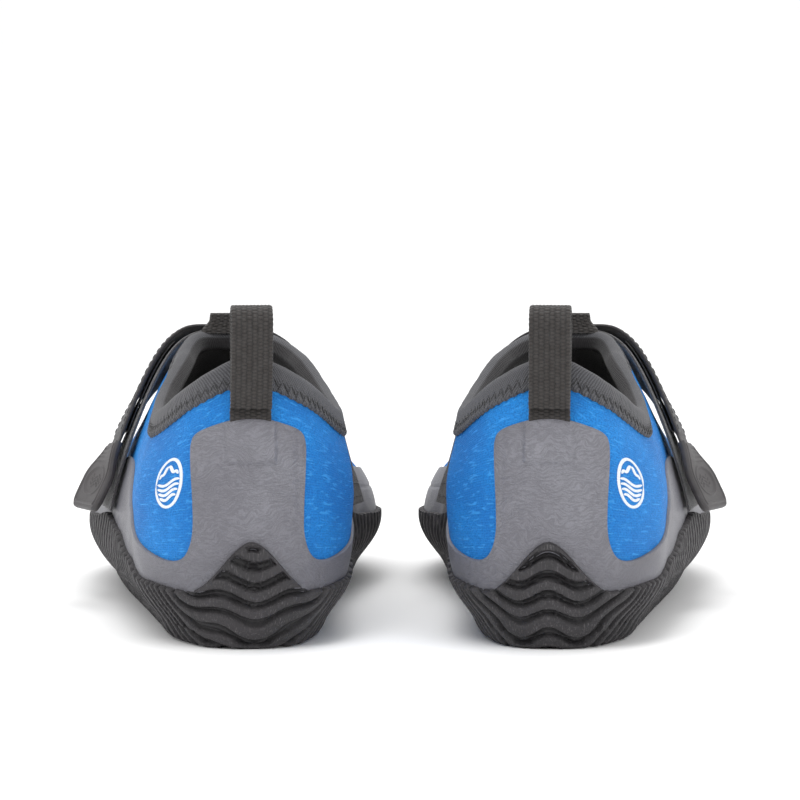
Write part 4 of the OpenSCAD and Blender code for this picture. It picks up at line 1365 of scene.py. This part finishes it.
def build_strap(side):
    """The run that returns over the instep, the run under it and the hook patch between them."""
    half_w = STRAP_W / 2
    half_t = STRAP_T / 2
    turn_r = BAR_R + GAP

    def returning(x):
        q = np.linspace(STRAP_END, RING_Q - 0.3, 34)
        w = np.linspace(60, -180, 17)
        over = [strap_point(q, np.full_like(q, x), return_d(q) + lift) for lift in (0, STRAP_T)]
        turn = [turn_point(RING_TOP, r, w, x) for r in (turn_r, turn_r + STRAP_T)]
        return np.concatenate([over[0], turn[0]]), np.concatenate([over[1], turn[1]])

    def base(x):
        q = np.linspace(BASE_END, RING_Q - 0.18, 38)
        return tuple(strap_point(q, np.full_like(q, x), BASE_D + lift) for lift in (0, STRAP_T))

    def hooks(x):
        q = np.linspace(STRAP_END + 0.06, -0.95, 12)
        bottom = BASE_D + STRAP_T + GAP
        return tuple(strap_point(q, np.full_like(q, x), bottom + lift) for lift in (0, 1.0))

    name = f"{side}_strap_webbing"
    tape(name, side, returning, half_w, half_t, "strap", "strap", "instep_strap", 46, 0.04)
    name = f"{side}_loop_pile"
    tape(name, side, base, half_w, half_t, "loop_tape", "shoe", "closure_strap", 36, 0.05)
    name = f"{side}_hook_patch"
    tape(name, side, hooks, half_w * 0.94, 0.5, "hook", "strap", "hook_pad", 30, 0.25, 1.1)
    paths = []
    for x in (-half_w + 2.2, half_w - 2.2):
        q = np.linspace(STRAP_END + 0.05, RING_Q - 0.35, 41)
        for q0, q1 in zip(q[:-1], q[1:]):
            f = np.linspace(0, 0.72, 6)
            qs = mix(q0, q1, f)
            paths.append(strap_point(qs, np.full_like(qs, x), return_d(qs) + STRAP_T + 0.05))
    stitch_piece(f"{side}_strap_stitch", side, paths, 0.2, "strap")


def build_ring(side):
    """Moulded ring with a boss on each end, and the webbing that anchors it."""
    half_x, corner = RING_W / 2 - 1.3, 2.0
    path, face = [], []
    corners = ((half_x, RING_H, 0), (-half_x, RING_H, 90), (-half_x, 0.0, 180), (half_x, 0.0, 270))
    for cx, cz, start in corners:
        for w in np.radians(np.linspace(start, start + 90, 9)):
            sx, sz = np.sign(cx), 1 if cz > 0 else -1
            path.append((cx - sx * corner + corner * math.cos(w), cz - sz * 0.9 + 0.9 * math.sin(w)))
            face.append(abs(math.cos(w)))
    path, face = np.array(path), np.array(face)
    w = np.arange(20) * 2 * np.pi / 20
    ahead = unit(np.roll(path, -1, 0) - np.roll(path, 1, 0))
    out_way = np.stack([ahead[:, 1], -ahead[:, 0]], -1)
    flat = np.sign(np.cos(w)) * np.abs(np.cos(w)) ** 0.7
    tall = np.sign(np.sin(w)) * np.abs(np.sin(w)) ** 0.7
    in_plane = mix(1.45, 1.3, face)[:, None] * flat[None, :]
    off_plane = mix(1.45, 1.9, face)[:, None] * tall[None, :]
    xz = path[:, None] + out_way[:, None] * in_plane[..., None]
    rings = RING_LOW + xz[..., :1] * RING_E + xz[..., 1:] * RING_UP + off_plane[..., None] * RING_OUT
    piece = tube(f"{side}_side_ring", rings, side, rings.reshape(-1, 3), closed=True, sharp=40)
    finish_piece(piece, side, "ring", "ring", "ring_frame")
    # A small moulded boss on the outer face of each end
    points, faces, count = [], [], 0
    for end in (-1, 1):
        radii = [(0.0, 2.15), (0.55, 2.15), (0.75, 2.1), (0.85, 1.9), (0.95, 1.6)]
        centre = RING_LOW + RING_E * end * half_x + RING_UP * RING_H * 0.5
        angle = np.arange(24)[:, None] * 2 * np.pi / 24
        around = RING_E * np.cos(angle) + RING_UP * np.sin(angle)
        grid = np.array([centre + RING_OUT * level + around * r for r, level in radii])
        ids = np.arange(grid.shape[0] * 24).reshape(grid.shape[0], 24) + count
        count += ids.size
        points.append(grid.reshape(-1, 3))
        faces += strip_faces(ids, wrap_j=True) + [tuple(ids[-1].tolist())]
    points = np.concatenate(points)
    boss = make_mesh(f"{side}_ring_boss", points, faces, side, points)
    finish_piece(boss, side, "ring", "thread")
    leg_d, anchor_t = OVERLAY_T + 3 * GAP, 1.2

    def anchor(x):
        foot_q = 4 - 1.36
        q = np.linspace(foot_q, mix(foot_q, RING_Q, 0.35), 7)
        w = np.linspace(190, -40, 18)
        faces = []
        # Up the shoe, round the bar and back down over itself
        for under, turn, over in ((anchor_t, 0, anchor_t + 0.2), (0, anchor_t, 2 * anchor_t + 0.2)):
            faces.append(np.concatenate([
                strap_point(q, x, leg_d + under), turn_point(RING_LOW, BAR_R + GAP + turn, w, x),
                strap_point(q[::-1], x, leg_d + over),
            ]))
        return faces

    name = f"{side}_ring_anchor_web"
    tape(name, side, anchor, STRAP_W / 2 - 1, anchor_t / 2, "webbing", "shoe", "ring_anchor", 36)
    paths = []
    for row in (2.56, 2.42):
        for x0 in np.arange(-9.6, 8.4, 2.4):
            xs = x0 + np.linspace(0, 1.7, 6)
            paths.append(strap_point(row, xs, leg_d + 2.66))
    stitch_piece(f"{side}_anchor_stitch", side, paths, 0.2, "shoe")


def tab_point(x, y, z):
    """Point of the pull tab: x across, y down it and z off its face."""
    fall = TAB_DOWN * math.cos(TAB_TILT) + TAB_OUT * math.sin(TAB_TILT)
    face = TAB_OUT * math.cos(TAB_TILT) - TAB_DOWN * math.sin(TAB_TILT)
    turn = TAB_TWIST * smooth(y / 14)
    across = x * np.cos(turn) - z * np.sin(turn)
    lift = z * np.cos(turn) + x * np.sin(turn)
    return TAB_TOP + TAB_E * across[..., None] + fall * (y + 1.0)[..., None] + face * lift[..., None]


def build_tab(side):
    """Moulded pull tab with a raised border and a sunken oval field."""
    rows, across = 120, 110
    length, half, corner, half_t = 25.0, 14.0, 5.0, 1.4
    t = np.linspace(0, 1, rows)
    y = length * mix(t, smooth(t), 0.35)
    bottom = np.sqrt(np.clip(corner ** 2 - np.clip(y - length + corner, 0, corner) ** 2, 0, None))
    width = np.where(y > length - corner, half - corner + bottom, half)
    width = np.minimum(width, 13.5 + 0.5 * smooth((y - 6) / 4))
    u = np.linspace(-1, 1, across)
    u = mix(u, np.sin(u * np.pi / 2), 0.5)
    x = width[:, None] * u[None, :]
    yy = np.broadcast_to(y[:, None], x.shape)
    gap = np.minimum(width[:, None] - np.abs(x), np.minimum(length - yy, yy + 0.6))
    edge = np.sqrt(np.clip(1 - (1 - np.clip(gap / 0.9, 0, 1)) ** 2, 0, 1))
    rim = smooth((gap - 1.5) / 0.35) * smooth((2.75 - gap) / 0.35)
    oval_y = 14.6
    oval = np.sqrt((x / 8.6) ** 2 + ((yy - oval_y) / 5.0) ** 2)
    field = smooth((1.0 - oval) / 0.07)
    ring = smooth((1.16 - oval) / 0.05) * smooth((oval - 1.0) / 0.05)
    bars = sum(smooth((0.55 - np.abs(yy - level)) / 0.25) for level in (3.4, 5.2, 7.0))
    bars = bars * smooth((10.8 - np.abs(x)) / 0.5)
    relief = 0.42 * rim - 0.32 * field + 0.28 * ring + 0.3 * bars
    # Raised wave lines inside the oval
    for offset in (-1.5, 0.0, 1.5):
        wave = yy - oval_y - offset - 0.7 * np.sin(x * 0.95)
        relief = relief + 0.3 * smooth((0.42 - np.abs(wave)) / 0.2) * smooth((0.72 - oval) / 0.08)
    bow = -0.5 * ((yy / length) ** 2) + 0.25 * (x / half) ** 2
    high = tab_point(x, yy, (half_t + relief - 0.25) * edge + bow)
    low = tab_point(x, yy, -half_t * edge + bow)
    piece = shell(f"{side}_pull_tab_grip", high, low, side, on_cloth(x, yy), sharp=50)
    finish_piece(piece, side, "pull_tab", "tab", "strap_tab")


def build_tab_web(side):
    """The webbing that bends where the strap runs into the tab."""
    q = np.linspace(STRAP_END + 0.12, STRAP_END, 6)
    x = np.linspace(-12.2, 12.2, 30)
    mid = np.array([strap_point(q, v, return_d(q) + STRAP_T / 2 - 0.1) for v in x])
    y = np.linspace(-0.2, 1.6, 7)
    into = np.array([tab_point(np.full_like(y, v), y, np.zeros_like(y)) for v in x])
    centre = np.array([curve_through(np.concatenate([a, b]), 3) for a, b in zip(mid, into)])
    along = unit(np.gradient(centre, axis=1))
    across_way = unit(np.gradient(centre, axis=0))
    out = unit(np.cross(along, across_way))
    out = out * np.sign(np.sum(out * TAB_OUT, -1, keepdims=True))
    thin = 0.62 * np.sqrt(np.clip(1 - np.abs(x / 12.3) ** 12, 0.05, 1))[:, None, None]
    s = arc_length(centre.transpose(1, 0, 2)).T
    cloth = on_cloth(x[:, None], s)
    bridge = shell(f"{side}_tab_web", centre + out * thin, centre - out * thin, side, cloth)
    paint_piece(bridge, "strap")
    root = strap_point(STRAP_END + 0.05, 0.0, return_d(np.array(-2.0)) + 0.8)
    start = Vector(placed(root, side))
    end = Vector(placed(tab_point(np.array(0.0), np.array(0.8), np.array(0.0)), side))
    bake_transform(bridge)


# --- The pair ----------------------------------------------------------------------------------
for side in SIDES:
    build_outsole(side)
    build_inside(side)
    build_lining(side)
    build_quarter(side, 1, f"{side}_inner_quarter", "quarter_medial")
    build_quarter(side, -1, f"{side}_outer_quarter", "quarter_lateral")
    build_vamp(side)
    build_heel_overlay(side)
    build_toe_overlay(side)
    build_binding(side)
    build_binding_stitch(side)
    build_print(side)
    build_heel_loop(side)
    build_loop_tail(side)
    build_front_tab(side)
    build_strap(side)
    build_ring(side)
    build_tab(side)
    build_tab_web(side)


# --- Floor, light and camera -------------------------------------------------------------------
def floor_material():
    material = bpy.data.materials.new("studio_white")
    material.use_nodes = True
    shader = material.node_tree.nodes["Principled BSDF"]
    shader.inputs["Base Color"].default_value = (0.97, 0.97, 0.97, 1)
    shader.inputs["Roughness"].default_value = 0.9
    shader.inputs["Specular IOR Level"].default_value = 0.1
    return material


def build_floor():
    """White ground that reaches past the horizon of the picture."""
    reach = 60.0
    mesh = bpy.data.meshes.new("studio_floor")
    corners = [(-reach, -reach, 0), (reach, -reach, 0), (reach, reach, 0), (-reach, reach, 0)]
    mesh.from_pydata(corners, [], [(0, 1, 2, 3)])
    mesh.materials.append(floor_material())
    floor = bpy.data.objects.new("studio_floor", mesh)
    floor.location.z = -0.0002
    bpy.context.scene.collection.objects.link(floor)


def area_light(name, at, target, size, watts):
    data = bpy.data.lights.new(name, "AREA")
    data.shape = "DISK"
    data.size = size
    data.energy = watts
    lamp = bpy.data.objects.new(name, data)
    lamp.location = at
    lamp.rotation_euler = (Vector(target) - Vector(at)).to_track_quat("-Z", "Y").to_euler()
    bpy.context.scene.collection.objects.link(lamp)


build_floor()
area_light("key_light", (-0.35, -0.9, 1.5), (0, 0, 0.03), 0.9, 9)
area_light("fill_light", (1.1, -0.9, 0.9), (0, 0, 0.04), 1.2, 2)
area_light("top_light", (0.1, 0.3, 1.7), (0, 0, 0), 0.9, 7)

world = bpy.data.worlds.new("studio_world")
world.use_nodes = True
world.node_tree.nodes["Background"].inputs["Color"].default_value = (1, 1, 1, 1)
world.node_tree.nodes["Background"].inputs["Strength"].default_value = 1.04
bpy.context.scene.world = world
bpy.context.scene.view_settings.view_transform = "Standard"

CAMERA_AWAY = 1.5
CAMERA_HEIGHT = math.radians(8.0)
CAMERA_PITCH = math.radians(4.95)
camera_data = bpy.data.cameras.new("photo_camera")
camera_data.lens = 212.6
camera_data.sensor_width = 36
camera = bpy.data.objects.new("photo_camera", camera_data)
away, up = CAMERA_AWAY * math.cos(CAMERA_HEIGHT), CAMERA_AWAY * math.sin(CAMERA_HEIGHT)
camera.location = (0, -HEEL_BACK * MM - away, up)
camera.rotation_euler = (math.pi / 2 - CAMERA_PITCH, 0, 0)
bpy.context.scene.collection.objects.link(camera)
bpy.context.scene.camera = camera
